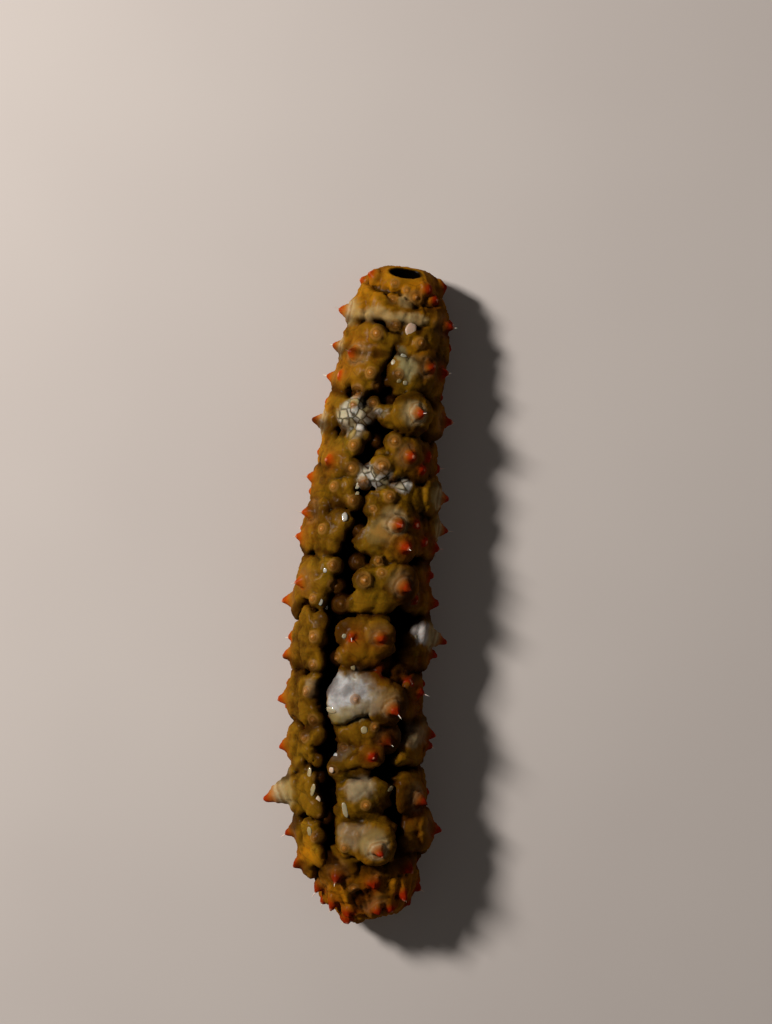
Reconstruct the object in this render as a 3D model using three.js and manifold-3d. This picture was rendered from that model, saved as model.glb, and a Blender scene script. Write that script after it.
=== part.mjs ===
// A small warty sea cucumber of the curryfish family, lying on its sole with its rear end at +Y and its mouth at
// -Y. Millimetres, +Z up, origin on the floor under the middle of its footprint.
import * as THREE from "three";
import { mergeVertices } from "three/addons/utils/BufferGeometryUtils.js";
import Module from "manifold-3d";

const wasm = await Module();
wasm.setup();

// The smooth body under the warts
const bodyLength = 117.5;
const rearHalfWidth = 6.6;
const midHalfWidth = 9.3;
const rearTop = 10.2;
const midTop = 13.6;
const soleHeight = 1.1; // the tube feet hold the sole this far off the floor
const rearCap = 4.5;
const frontCap = 17;
const fullGirthAt = 62; // from the rear end
const backRoll = 20; // degrees that the front half of the back is rolled towards -X
const rollGrowth = { from: 38, to: 78 }; // from the rear end
const widestShare = 0.42; // of the height, where the body is widest
const backRoundness = 0.86; // 1 is an ellipse, less is squarer
const soleRoundness = 0.5;
const rearSquareness = 2.8; // how square the rounding of each end is in outline
const frontSquareness = 2.2;
const frontTopRoundness = 0.8; // below 1, the front end stays tall for longer than it stays wide
const frontSoleRoundness = 0.6;
const gap = 0.3; // between nodes that touch

// Mounds: the big warts, in four columns and in bands across the body
const moundHeight = 3.1;
const moundRoot = 1.8;
const moundSides = 8;
const moundSquareness = 3; // in outline: 2 is an ellipse, more is squarer
const moundShare = 0.49; // of the pitch that half a mound takes, less the slack
const moundSlack = 0.02; // share of the pitch that a crease across the body takes, and how much more ahead
const moundSlackAhead = 0.03;
const flankEdge = 101; // degrees from the middle of the back, where the flank mounds end
const outwards = [-1, -1, 1, 1]; // the side that each column of mounds leans to, from the left flank

// The long creases that part the columns: the middle and the half width of each, in degrees round the body, at
// the rear and further forward
const leftCrease = { middle: -52, half: 1 };
const middleCrease = { rear: 8, rearHalf: 3, front: -8, frontHalf: 9.5 };
const rightCrease = { rear: 52, rearHalf: 1.5, front: 47, frontHalf: 5 };
const middleShift = { from: 5, to: 30 }; // from the rear end, where the middle crease crosses to the left
const creaseWidening = { from: 20, to: 70 };
const slackWidening = { from: 25, to: 65 };

// Each band: its distance from the rear end, then how big its mounds are, from the left flank to the right
// flank, and how much longer than usual the papilla on each of them is
const bands = [
  { at: 8.4, sizes: [0.75, 0.5, 0.6, 0.55] },
  { at: 14, sizes: [0.75, 0.7, 0.6, 0.95] },
  { at: 19.6, sizes: [0.7, 0.85, 0.75, 0.75] },
  { at: 26.4, sizes: [1.15, 0.85, 1, 0.95] },
  { at: 34, sizes: [0.75, 1, 0.95, 0.75] },
  { at: 41, sizes: [0.85, 0.85, 0.8, 1.05] },
  { at: 48, sizes: [0.85, 0.95, 1.1, 1.15] },
  { at: 57, sizes: [0.9, 1, 1.1, 0.85] },
  { at: 67.2, sizes: [0.9, 1, 1.1, 1.2] },
  { at: 77.4, sizes: [0.9, 1, 1.3, 0.85] },
  { at: 86, sizes: [0.85, 0.9, 1, 1.05] },
  { at: 94.2, sizes: [1.3, 0.95, 1.05, 0.95], stretch: [1.75, 1, 1, 1] },
  { at: 102.4, sizes: [0.95, 0.85, 1.15, 1] },
];

// What grows on a mound: a papilla on its outer slope, and buttons on the rest of it
const papillaRadius = 1.7;
const papillaHeight = 2.7;
const papillaAhead = 0.2; // from the middle of the mound, as a share of its half length
const papillaTurn = 6; // degrees outwards
const papillaRise = 0.85; // as a share of the mound's height
const papillaLean = 0.8;
const buttonRadius = 1.35;
const buttonHeight = 1.1;
const buttonRise = 0.72;
const buttonSpots = [
  { ahead: -0.45, turn: -11 },
  { ahead: 0.5, turn: -8 },
]; // ahead as a share of the mound's half length, turn in degrees outwards
const leanAtRear = -0.4; // of a papilla's tip towards the mouth
const leanAtFront = 1.8;
const leanFullAt = 95; // from the rear end

// Small papillae low on the flanks and round the two ends
const spikeRadius = 1.2;
const spikeHeight = 2.3;
const fringePitch = 4.1;
const fringeOffset = 107;
const fringeStretch = { from: 8.5, to: 104 };

// The tube feet, in three strips along the sole
const footRadius = 0.75;
const footNeck = 0.5;
const footTop = 3.4; // inside the body
const footPitch = 9.4;
const footStretch = { from: 14.2, to: 104 };
const footStrips = [-5, 0, 5];
const footRowGap = 2;

// The openings at the two ends
const anusHalfWidth = 2.9;
const anusFlatness = 0.52; // its height as a share of its width
const anusDepth = 4.4;
const anusTilt = 40; // degrees that it looks up
const anusAt = 1.05; // from the rear end
const mouthRadius = 3.4;
const mouthRoof = 4.2;
const mouthAt = 110.6;

// The tentacles round the mouth, drawn in
const tentacleCount = 12;
const tentacleLowest = 0.8;

// The nodes: where one length of the body ends and the next begins, measured from the rear end
const trunkCuts = [11.2, 30.3, 52.4, 72.4, 90.1, 106.4];
const soleCuts = [11.2, 42.8, 74.9, 106.4];
const soleTop = 2.3;

const up = new THREE.Vector3(0, 0, 1);
const spine = new THREE.CubicBezierCurve3(
  new THREE.Vector3(8.6, 59.2, 0),
  new THREE.Vector3(3, 19.4, 0),
  new THREE.Vector3(-5.4, -19.6, 0),
  new THREE.Vector3(3.2, -58.3, 0),
);

const radians = THREE.MathUtils.degToRad;
const mix = (a, b, share) => a + (b - a) * share;

function smooth(x) {
  const share = THREE.MathUtils.clamp(x, 0, 1);
  return share * share * (3 - 2 * share);
}

// From 0 at one distance from the rear end, eased, to 1 at another
const shareBetween = (distance, { from, to }) => smooth((distance - from) / (to - from));

// A repeatable draw from -1 to 1 for each set of three numbers
function vary(a, b, c) {
  const wave = Math.sin(a * 12.9898 + b * 78.233 + c * 37.719) * 43758.5453;
  return 2 * (wave - Math.floor(wave)) - 1;
}

// 0 at an end of the body, rising to 1 where its rounding stops
function rounding(distance, length, power) {
  const share = THREE.MathUtils.clamp(1 - distance / length, 0, 1);
  return (1 - share ** power) ** (1 / power);
}

// How far the body has swelled from its rear girth to its full girth
const girth = (distance) => smooth(distance / fullGirthAt);

// Sideways from the spine, level, towards +X
function sideways(distance) {
  const share = THREE.MathUtils.clamp(distance / bodyLength, 0, 1);
  return new THREE.Vector3().crossVectors(up, spine.getTangent(share));
}

// The body is placed by the distance from its rear end and the offset in degrees from the middle of the back,
// towards +X. A point of the smooth body:
function bodyPoint(distance, offset) {
  const share = THREE.MathUtils.clamp(distance / bodyLength, 0, 1);
  const roll = backRoll * shareBetween(distance, rollGrowth) * Math.cos(radians(offset)) ** 2;
  const angle = radians(90 + roll - offset);
  const rear = rounding(distance, rearCap, rearSquareness);
  const front = rounding(bodyLength - distance, frontCap, frontSquareness);
  const top = mix(rearTop, midTop, girth(distance));
  const widest = widestShare * top;
  const halfWidth = mix(rearHalfWidth, midHalfWidth, girth(distance));
  const cos = Math.cos(angle);
  const sin = Math.sin(angle);
  const across = Math.sign(cos) * Math.abs(cos) ** backRoundness * halfWidth * rear * front;
  const topRise = (top - widest) * Math.max(sin, 0) ** backRoundness;
  const soleDrop = (widest - soleHeight) * Math.max(-sin, 0) ** soleRoundness;
  const height = widest + rear * (topRise * front ** frontTopRoundness - soleDrop * front ** frontSoleRoundness);
  return spine.getPoint(share).addScaledVector(sideways(distance), across).setZ(height);
}

// The outward direction of the smooth body there
function bodyNormal(distance, offset) {
  const step = 0.02;
  const along = bodyPoint(distance + step, offset).sub(bodyPoint(distance - step, offset));
  const around = bodyPoint(distance, offset + 2).sub(bodyPoint(distance, offset - 2));
  return along.cross(around).normalize();
}

function toSolid(geometry) {
  geometry.deleteAttribute("normal");
  geometry.deleteAttribute("uv");
  const merged = mergeVertices(geometry, 1e-4);
  return new wasm.Manifold(
    new wasm.Mesh({
      numProp: 3,
      vertProperties: merged.attributes.position.array,
      triVerts: new Uint32Array(merged.index.array),
    }),
  );
}

function toGeometry(solid) {
  const mesh = solid.getMesh();
  const geometry = new THREE.BufferGeometry();
  geometry.setAttribute("position", new THREE.BufferAttribute(mesh.vertProperties, 3));
  geometry.setIndex(new THREE.BufferAttribute(mesh.triVerts, 1));
  return geometry;
}

function turned(profile, sides) {
  return new THREE.LatheGeometry(
    profile.map(([radius, height]) => new THREE.Vector2(radius, height)),
    sides,
  );
}

// The body without its warts: a sphere drawn out along the spine
function smoothBody() {
  const geometry = new THREE.SphereGeometry(1, 18, 30);
  const position = geometry.attributes.position;
  for (let i = 0; i < position.count; i++) {
    const distance = ((1 - position.getY(i)) / 2) * bodyLength;
    const offset = THREE.MathUtils.radToDeg(Math.atan2(position.getX(i), position.getZ(i)));
    const point = bodyPoint(distance, offset);
    position.setXYZ(i, point.x, point.y, point.z);
  }
  return toSolid(geometry);
}

// A mound wrapped round the body: nearly square in outline, and domed
function mound(distance, offset, halfLength, halfTurn, height) {
  const geometry = turned(
    [
      [0, -moundRoot],
      [1, -moundRoot],
      [0.93, 0.42 * height],
      [0.58, 0.86 * height],
      [0, height],
    ],
    moundSides,
  );
  const position = geometry.attributes.position;
  for (let i = 0; i < position.count; i++) {
    const x = position.getX(i);
    const z = position.getZ(i);
    const size = Math.hypot(x, z);
    const power = moundSquareness;
    const squared = (Math.abs(x) ** power + Math.abs(z) ** power) ** (1 / power);
    const corner = size > 0 ? size / squared : 1;
    const spot = distance + z * corner * halfLength;
    const turn = offset + x * corner * halfTurn;
    const point = bodyPoint(spot, turn).addScaledVector(bodyNormal(spot, turn), position.getY(i));
    position.setXYZ(i, point.x, point.y, point.z);
  }
  return toSolid(geometry);
}

// A turned form rooted in the body. It stands "rise" above the smooth surface, its tip leans by "aside" towards +X
// round the body and "forward" towards the mouth, and it is cut off flat at "lowest".
function grow(profile, sides, distance, offset, { aside = 0, forward = 0, rise = 0, lowest = 0.4 } = {}) {
  const geometry = turned(profile, sides);
  const tip = Math.max(...profile.map(([, height]) => height));
  const normal = bodyNormal(distance, offset);
  const ahead = bodyPoint(distance + 0.5, offset).sub(bodyPoint(distance - 0.5, offset)).normalize();
  const round = new THREE.Vector3().crossVectors(normal, ahead);
  const root = bodyPoint(distance, offset).addScaledVector(normal, rise);
  const position = geometry.attributes.position;
  for (let i = 0; i < position.count; i++) {
    const height = position.getY(i);
    const bend = (Math.max(height, 0) / tip) ** 2;
    const point = root
      .clone()
      .addScaledVector(round, position.getX(i) + aside * bend)
      .addScaledVector(normal, height)
      .addScaledVector(ahead, forward * bend + position.getZ(i));
    position.setXYZ(i, point.x, point.y, Math.max(point.z, lowest));
  }
  return toSolid(geometry);
}

// A cone with a shoulder
function papillaProfile(radius, height) {
  return [
    [0, -1.4],
    [radius, -1.4],
    [0.6 * radius, 0.5 * height],
    [0, height],
  ];
}

function buttonProfile(size) {
  const radius = buttonRadius * size;
  return [
    [0, -1.2],
    [radius, -1.2],
    [0.85 * radius, 0.6 * buttonHeight * size],
    [0, buttonHeight * size],
  ];
}

function spikeProfile(size) {
  return [
    [0, -1.2],
    [spikeRadius * mix(0.7, 1.15, size), -1.2],
    [0, spikeHeight * size],
  ];
}

// How far papillae lean towards the mouth: a little back at the rear, and most at the front
const forwardLean = (distance) => mix(leanAtRear, leanAtFront, smooth(distance / leanFullAt));

// A lean that keeps a tip clear of the cuts between lengths
function clearOfCuts(distance, forward) {
  const clearance = 0.6;
  const before = Math.max(0, ...trunkCuts.filter((cut) => cut <= distance));
  const after = Math.min(bodyLength + 9, ...trunkCuts.filter((cut) => cut > distance));
  return THREE.MathUtils.clamp(forward, before + clearance - distance, after - clearance - distance);
}

// The middle and the half width in degrees of each column of mounds, which lies between two long creases
function moundColumns(distance) {
  const wide = shareBetween(distance, creaseWidening);
  const middle = mix(middleCrease.rear, middleCrease.front, shareBetween(distance, middleShift));
  const middleHalf = mix(middleCrease.rearHalf, middleCrease.frontHalf, wide);
  const right = mix(rightCrease.rear, rightCrease.front, wide);
  const rightHalf = mix(rightCrease.rearHalf, rightCrease.frontHalf, wide);
  return [
    [-flankEdge, leftCrease.middle - leftCrease.half],
    [leftCrease.middle + leftCrease.half, middle - middleHalf],
    [middle + middleHalf, right - rightHalf],
    [right + rightHalf, flankEdge],
  ].map(([low, high]) => ({ offset: (low + high) / 2, halfTurn: (high - low) / 2 }));
}

// The mounds of one band, each with its papilla and buttons
function bandOfMounds({ at, sizes, stretch = [1, 1, 1, 1] }, band) {
  const before = bands[Math.max(band - 1, 0)].at;
  const after = bands[Math.min(band + 1, bands.length - 1)].at;
  const pitch = (after - before) / (band === 0 || band === bands.length - 1 ? 1 : 2);
  const slack = moundSlack + moundSlackAhead * shareBetween(at, slackWidening);
  return moundColumns(at).flatMap(({ offset, halfTurn }, column) => {
    const outward = outwards[column];
    const size = sizes[column];
    const middle = offset + 2 * vary(band, column, 1);
    const distance = at + 0.6 * vary(band, column, 2);
    const halfLength = pitch * (moundShare - slack + 0.02 * vary(band, column, 3));
    const height = moundHeight * mix(0.4, 1, size);
    const onBack = Math.abs(offset) < 60;
    const papillaSpot = distance + papillaAhead * halfLength;
    const wide = papillaRadius * mix(0.5, 1, size) * mix(1, stretch[column], 0.5);
    const tall = papillaHeight * size * stretch[column];
    const forms = [
      mound(distance, middle, halfLength, halfTurn, height),
      grow(papillaProfile(wide, tall), 5, papillaSpot, middle + papillaTurn * outward, {
        aside: papillaLean * size * outward,
        forward: clearOfCuts(papillaSpot, forwardLean(papillaSpot) * size),
        rise: papillaRise * height,
      }),
    ];
    if (!onBack) return forms;
    buttonSpots.forEach(({ ahead, turn }, i) => {
      const spot = distance + (ahead + 0.1 * vary(band, column, 4 + i)) * halfLength;
      const place = middle + outward * (turn + 3 * vary(band, column, 7 + i));
      const big = 0.9 + 0.2 * vary(band, column, 10 + i);
      forms.push(grow(buttonProfile(big), 5, spot, place, { rise: buttonRise * height }));
    });
    return forms;
  });
}

// The row of small papillae low on each flank
function fringe() {
  const forms = [];
  for (const side of [-1, 1]) {
    for (let i = 0, at = fringeStretch.from; at < fringeStretch.to; i++, at += fringePitch) {
      const distance = at + 0.7 * vary(i, side, 21);
      if (trunkCuts.some((cut) => Math.abs(cut - distance) < spikeRadius + gap)) continue;
      const size = 1 + 0.25 * vary(i, side, 23);
      const forward = clearOfCuts(distance, 0.6 * forwardLean(distance));
      forms.push(
        grow(spikeProfile(size), 5, distance, side * (fringeOffset + 3 * vary(i, side, 22)), {
          forward,
          lowest: soleTop + gap,
        }),
      );
    }
  }
  return forms;
}

// A ring of papillae round an end, from "turn" degrees on one side of the middle of the back to the other
function ring({ distance, count, turn, size, forward, seed }) {
  return Array.from({ length: count }, (_, i) => {
    const offset = mix(-turn, turn, i / (count - 1)) + 4 * vary(i, seed, 31);
    const spot = distance + 0.6 * vary(i, seed, 32);
    const big = size * (1 + 0.15 * vary(i, seed, 33));
    return grow(papillaProfile(papillaRadius * big, papillaHeight * big), 5, spot, offset, { forward });
  });
}

function endPapillae() {
  return [
    { distance: 3.4, count: 9, turn: 112, size: 0.55, forward: -0.6, seed: 1 },
    { distance: 108.2, count: 8, turn: 108, size: 1.3, forward: 1, seed: 2 },
    { distance: 111.8, count: 8, turn: 116, size: 1.2, forward: 1, seed: 3 },
    { distance: 115, count: 7, turn: 125, size: 1.05, forward: 0.6, seed: 4 },
  ].flatMap(ring);
}

// The tube feet: short cones with a flat sucker on the floor
function tubeFeet() {
  const profile = [
    [0, 0],
    [footRadius, 0],
    [footNeck, 0.8],
    [0, footTop],
  ];
  const forms = [];
  for (let row = 0, at = footStretch.from; at < footStretch.to; row++, at += footPitch) {
    footStrips.forEach((strip, column) => {
      for (const lane of [-0.5, 0.5]) {
        const distance = at + (lane * footPitch) / 2 + 0.5 * vary(row, column, 41 + lane);
        if (soleCuts.some((cut) => Math.abs(cut - distance) < footRadius + gap)) continue;
        const narrow = mix(rearHalfWidth / midHalfWidth, 1, girth(distance));
        const place = spine.getPoint(distance / bodyLength);
        place.addScaledVector(sideways(distance), (strip + lane * footRowGap) * narrow);
        forms.push(toSolid(turned(profile, 6).rotateX(Math.PI / 2).translate(place.x, place.y, 0)));
      }
    });
  }
  return forms;
}

// The space inside the anus: a flattened cup that opens outwards and up
function anusSpace() {
  const beyond = 3; // past the skin, so that the cut is clean
  const geometry = turned(
    [
      [0, -anusDepth],
      [0.45 * anusHalfWidth, -anusDepth],
      [0.85 * anusHalfWidth, -0.6 * anusDepth],
      [anusHalfWidth, 0],
      [1.3 * anusHalfWidth, beyond],
      [0, beyond],
    ],
    12,
  );
  const direction = spine.getTangent(0).negate().setZ(Math.tan(radians(anusTilt))).normalize();
  geometry.scale(1, 1, anusFlatness);
  geometry.applyQuaternion(new THREE.Quaternion().setFromUnitVectors(new THREE.Vector3(0, 1, 0), direction));
  const centre = bodyPoint(anusAt, 0);
  return toSolid(geometry.translate(centre.x, centre.y, centre.z));
}

function mouthSpace() {
  const middle = spine.getPoint(mouthAt / bodyLength);
  const geometry = turned(
    [
      [0, -2],
      [mouthRadius, -2],
      [mouthRadius, mouthRoof - 1],
      [mouthRadius - 1, mouthRoof],
      [0, mouthRoof],
    ],
    12,
  );
  return toSolid(geometry.rotateX(Math.PI / 2).translate(middle.x, middle.y, 0));
}

// The mouth disc in the roof of the recess, with a ring of short tentacles that hang from it
function mouthTentacles() {
  const middle = spine.getPoint(mouthAt / bodyLength);
  const discRadius = mouthRadius - 1 - gap;
  const top = mouthRoof - gap;
  const disc = turned(
    [
      [0, top - 1],
      [discRadius, top - 1],
      [discRadius, top],
      [0, top],
    ],
    12,
  );
  const club = [
    [0, tentacleLowest],
    [0.55, tentacleLowest + 0.3],
    [0.3, tentacleLowest + 1],
    [0, top - 0.4],
  ];
  const solids = [toSolid(disc.rotateX(Math.PI / 2).translate(middle.x, middle.y, 0))];
  for (let i = 0; i < tentacleCount; i++) {
    const angle = (2 * Math.PI * i) / tentacleCount;
    const x = middle.x + (discRadius - 0.4) * Math.cos(angle);
    const y = middle.y + (discRadius - 0.4) * Math.sin(angle);
    solids.push(toSolid(turned(club, 5).rotateX(Math.PI / 2).translate(x, y, 0)));
  }
  return wasm.Manifold.union(solids);
}

// Everything on one side of a cut across the body
function halfSpace(distance, towards) {
  const share = distance / bodyLength;
  const tangent = spine.getTangent(share);
  const size = 160;
  const centre = spine.getPoint(share).addScaledVector(tangent, towards * (size / 2 + gap / 2));
  const box = new THREE.BoxGeometry(size, size, size);
  box.rotateZ(Math.atan2(tangent.y, tangent.x)).translate(centre.x, centre.y, centre.z);
  return toSolid(box);
}

function below(height) {
  return toSolid(new THREE.BoxGeometry(200, 200, 100).translate(0, 0, height - 50));
}

// The biggest closed piece of a cut solid
function largest(solid) {
  const pieces = solid.decompose().sort((a, b) => b.volume() - a.volume());
  return pieces[0];
}

function length(solid, from, to) {
  let cut = solid;
  if (from !== null) cut = cut.intersect(halfSpace(from, 1));
  if (to !== null) cut = cut.intersect(halfSpace(to, -1));
  return cut;
}

const finishes = {
  back: { color: 0x5d4716, roughness: 0.45 },
  sole: { color: 0xa08044, roughness: 0.6 },
  tentacle: { color: 0x8a5a24, roughness: 0.5 },
};

function node(name, solid, finish) {
  const mesh = new THREE.Mesh(toGeometry(largest(solid)), new THREE.MeshStandardMaterial(finishes[finish]));
  mesh.name = name;
  return mesh;
}

function build() {
  const cucumber = new THREE.Group();
  const grown = [...bands.flatMap(bandOfMounds), ...fringe(), ...endPapillae(), ...tubeFeet()];
  const body = wasm.Manifold.union([smoothBody(), ...grown]).subtract(anusSpace()).subtract(mouthSpace());
  const back = body.subtract(below(soleTop + gap / 2));
  const sole = body.intersect(below(soleTop - gap / 2));
  const last = trunkCuts.length - 1;
  cucumber.add(node("anal_end", length(body, null, trunkCuts[0]), "back"));
  for (let i = 0; i < last; i++) {
    cucumber.add(node(`trunk_${i + 1}`, length(back, trunkCuts[i], trunkCuts[i + 1]), "back"));
  }
  cucumber.add(node("oral_end", length(body, trunkCuts[last], null), "back"));
  ["rear", "middle", "front"].forEach((name, i) => {
    cucumber.add(node(`sole_${name}`, length(sole, soleCuts[i], soleCuts[i + 1]), "sole"));
  });
  cucumber.add(node("mouth_tentacles", mouthTentacles(), "tentacle"));
  return cucumber;
}

export default build();
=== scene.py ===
# A small warty sea cucumber of the curryfish family, lying on its sole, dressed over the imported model.
# Shapes are worked out in millimetres, and each finished piece is turned into metres.
import math

import bmesh
import bpy
import numpy as np
from mathutils import Matrix, Vector, noise
from mathutils.bvhtree import BVHTree
from mathutils.kdtree import KDTree


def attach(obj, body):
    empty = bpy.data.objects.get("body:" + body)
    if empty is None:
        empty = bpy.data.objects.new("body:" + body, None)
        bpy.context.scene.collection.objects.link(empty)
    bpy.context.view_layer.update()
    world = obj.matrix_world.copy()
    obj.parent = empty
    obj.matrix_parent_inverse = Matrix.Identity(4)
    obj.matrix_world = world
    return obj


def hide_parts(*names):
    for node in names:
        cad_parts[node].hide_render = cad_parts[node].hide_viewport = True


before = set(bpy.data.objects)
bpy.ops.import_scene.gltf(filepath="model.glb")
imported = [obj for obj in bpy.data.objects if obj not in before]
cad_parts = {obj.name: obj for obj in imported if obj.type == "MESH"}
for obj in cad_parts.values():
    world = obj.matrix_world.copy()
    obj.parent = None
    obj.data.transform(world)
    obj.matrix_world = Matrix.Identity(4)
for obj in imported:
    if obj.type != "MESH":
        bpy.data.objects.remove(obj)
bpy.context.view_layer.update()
print("frame loaded with", len(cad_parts), "nodes")

metres = Matrix.Scale(0.001, 4)
up = Vector((0, 0, 1))
noise.seed_set(54)  # without a seed, noise_vector changes with the clock

# The smooth body under the warts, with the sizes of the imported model
body = {
    "length": 117.5,
    "rearHalfWidth": 6.6,
    "midHalfWidth": 9.3,
    "rearTop": 10.2,
    "midTop": 13.6,
    "girthTo": 62,  # mm from the rear end to the full girth
    "widest": 0.42,  # share of its height where the body is widest
    "crown": 0.86,  # below 1 the back is squarer than a circle
    "soleHeight": 1.1,  # the tube feet hold the sole this far off the floor
    "lowest": 0.3,  # no flesh starts nearer the floor
    "rearCap": 4.5,
    "frontCap": 17,
    "backRoll": 20,  # degrees that the front half of the back is rolled towards -X
    "rollFrom": 38,  # mm from the rear end where the roll starts, and the length that it takes
    "rollOver": 40,
    "spine": [Vector(p) for p in ((8.6, 59.2, 0), (3, 19.4, 0), (-5.4, -19.6, 0), (3.2, -58.3, 0))],
    "sunk": 1.5,  # how much deeper the creases between the mounds go
    "perDegree": 0.16,  # mm along the skin for each degree round the body
}


def mix(a, b, share):
    return a + (b - a) * share


def smooth(x):
    share = min(max(x, 0), 1)
    return share * share * (3 - 2 * share)


def smoothArray(values, low, high):
    share = np.clip((values - low) / (high - low), 0, 1)
    return share * share * (3 - 2 * share)


# A repeatable draw from -1 to 1 for each set of three numbers
def vary(a, b, c):
    wave = math.sin(a * 12.9898 + b * 78.233 + c * 37.719) * 43758.5453
    return 2 * (wave - math.floor(wave)) - 1


# 0 at an end of the body, rising to 1 where its rounding stops
def rounding(distance, length, power):
    share = min(max(1 - distance / length, 0), 1)
    return (1 - share**power) ** (1 / power)


def girth(distance):
    return smooth(distance / body["girthTo"])


def spinePoint(distance):
    share = min(max(distance / body["length"], 0), 1)
    rest = 1 - share
    a, b, c, d = body["spine"]
    return a * rest**3 + b * (3 * rest**2 * share) + c * (3 * rest * share**2) + d * share**3


def spineTangent(distance):
    share = min(max(distance / body["length"], 0), 1)
    rest = 1 - share
    a, b, c, d = body["spine"]
    return ((b - a) * rest**2 + (c - b) * (2 * rest * share) + (d - c) * share**2).normalized()


# The body is placed by the distance from its rear end and the turn in degrees from the middle of the back
def bodyPoint(distance, turn):
    rolled = smooth((distance - body["rollFrom"]) / body["rollOver"])
    roll = body["backRoll"] * rolled * math.cos(math.radians(turn)) ** 2
    angle = math.radians(90 + roll - turn)
    rear = rounding(distance, body["rearCap"], 2.8)
    front = rounding(body["length"] - distance, body["frontCap"], 2.2)
    top = mix(body["rearTop"], body["midTop"], girth(distance))
    widest = body["widest"] * top
    halfWidth = mix(body["rearHalfWidth"], body["midHalfWidth"], girth(distance))
    cos, sin = math.cos(angle), math.sin(angle)
    across = math.copysign(abs(cos) ** body["crown"], cos) * halfWidth * rear * front
    above = (top - widest) * max(sin, 0) ** body["crown"] * rear * front**0.8
    below = (widest - body["soleHeight"]) * max(-sin, 0) ** 0.5 * rear * front**0.6
    point = spinePoint(distance) + up.cross(spineTangent(distance)) * across
    point.z = widest + above - below
    return point


def bodyNormal(distance, turn):
    step = 0.02
    along = bodyPoint(distance + step, turn) - bodyPoint(distance - step, turn)
    around = bodyPoint(distance, turn + 2) - bodyPoint(distance, turn - 2)
    return along.cross(around).normalized()


# Where something grows: the point on the smooth body, outwards, towards the mouth, and round the body
def bodyFrame(distance, turn):
    normal = bodyNormal(distance, turn)
    ahead = (bodyPoint(distance + 0.5, turn) - bodyPoint(distance - 0.5, turn)).normalized()
    return bodyPoint(distance, turn), normal, ahead, normal.cross(ahead)


# Mounds: the big warts, in four columns and in bands across the body
mounds = {
    "height": 2.95,
    "root": 2.6,
    "squareness": 3.6,
    "wobble": 0.27,
    "steep": 0.45,
    "edge": 101,  # degrees round the body where the flank mounds end
    "slack": 0.015,  # share of the pitch that a crease across the body takes, and how much more at the front
    "slackAhead": 0.015,
    "rightJoinedTo": 50,  # mm from the rear end
    "bend": 2.4,  # mm that a wave shifts the outlines along the body, and degrees round it
    "bendTurn": 15,
    "waveAlong": 0.17,  # how fast the wave changes with each mm along the body, and each degree round it
    "waveRound": 0.035,
    "waveSlice": 5,
    "rootedAt": 0.82,  # share of a mound's lift where the things that grow on it are rooted
    "joinTurn": 52,  # the flesh over the outer creases: its middle and its half width in degrees
    "joinHalfTurn": 27,
    "joinHeight": 0.49,  # its height as a share of the two mounds' heights together
    # flesh that closes the middle crease: mm from the rear end, degrees round the back,
    # half length, half turn, height
    "bridges": [
        (8.6, 6, 3.2, 15, 1.6), (12.4, 5, 2, 12, 1.5), (37.9, -5, 2, 15, 2.4), (81.7, 14, 3, 17, 1.9),
        (90.2, 13, 2.6, 16, 1.7), (98.4, 15, 3, 19, 2), (104.6, 12, 3, 24, 1.7), (52.6, 24, 2.6, 13, 1.8),
    ],
    # mm from the rear end: how big the mounds are from the left flank to the right flank
    "bands": {
        8.4: (0.45, 0.35, 0.35, 0.45),
        14: (0.75, 0.7, 0.6, 0.95),
        19.6: (0.7, 0.85, 0.75, 0.75),
        26.4: (1.15, 0.85, 1, 0.95),
        34: (0.75, 1, 0.95, 0.75),
        41: (0.85, 0.85, 0.8, 1.05),
        48: (0.85, 0.95, 1.1, 1.15),
        57: (0.9, 1, 1.1, 0.85),
        67.2: (0.9, 1, 1.1, 1.2),
        77.4: (0.9, 1, 1.3, 0.85),
        86: (0.85, 0.9, 1, 1.05),
        94.2: (1.15, 0.95, 1.05, 0.95),
        102.4: (0.95, 0.85, 1.15, 1),
    },
}


# The long creases that part the columns: the middle and the half width of each, in degrees round the body
def longCreases(distance):
    early = smooth((distance - 5) / 25)
    late = smooth((distance - 20) / 50)
    return (-52, 1), (mix(8, -8, early), mix(3, 9.5, late)), (mix(52, 47, late), mix(1.5, 5, late))


# Each column of mounds lies between two long creases, or a crease and the edge of a flank. This gives
# its middle and its half width in degrees
def moundColumns(distance):
    left, middle, right = longCreases(distance)
    edges = (
        (-mounds["edge"], left[0] - left[1]),
        (left[0] + left[1], middle[0] - middle[1]),
        (middle[0] + middle[1], right[0] - right[1]),
        (right[0] + right[1], mounds["edge"]),
    )
    return [((low + high) / 2, (high - low) / 2) for low, high in edges]


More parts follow.
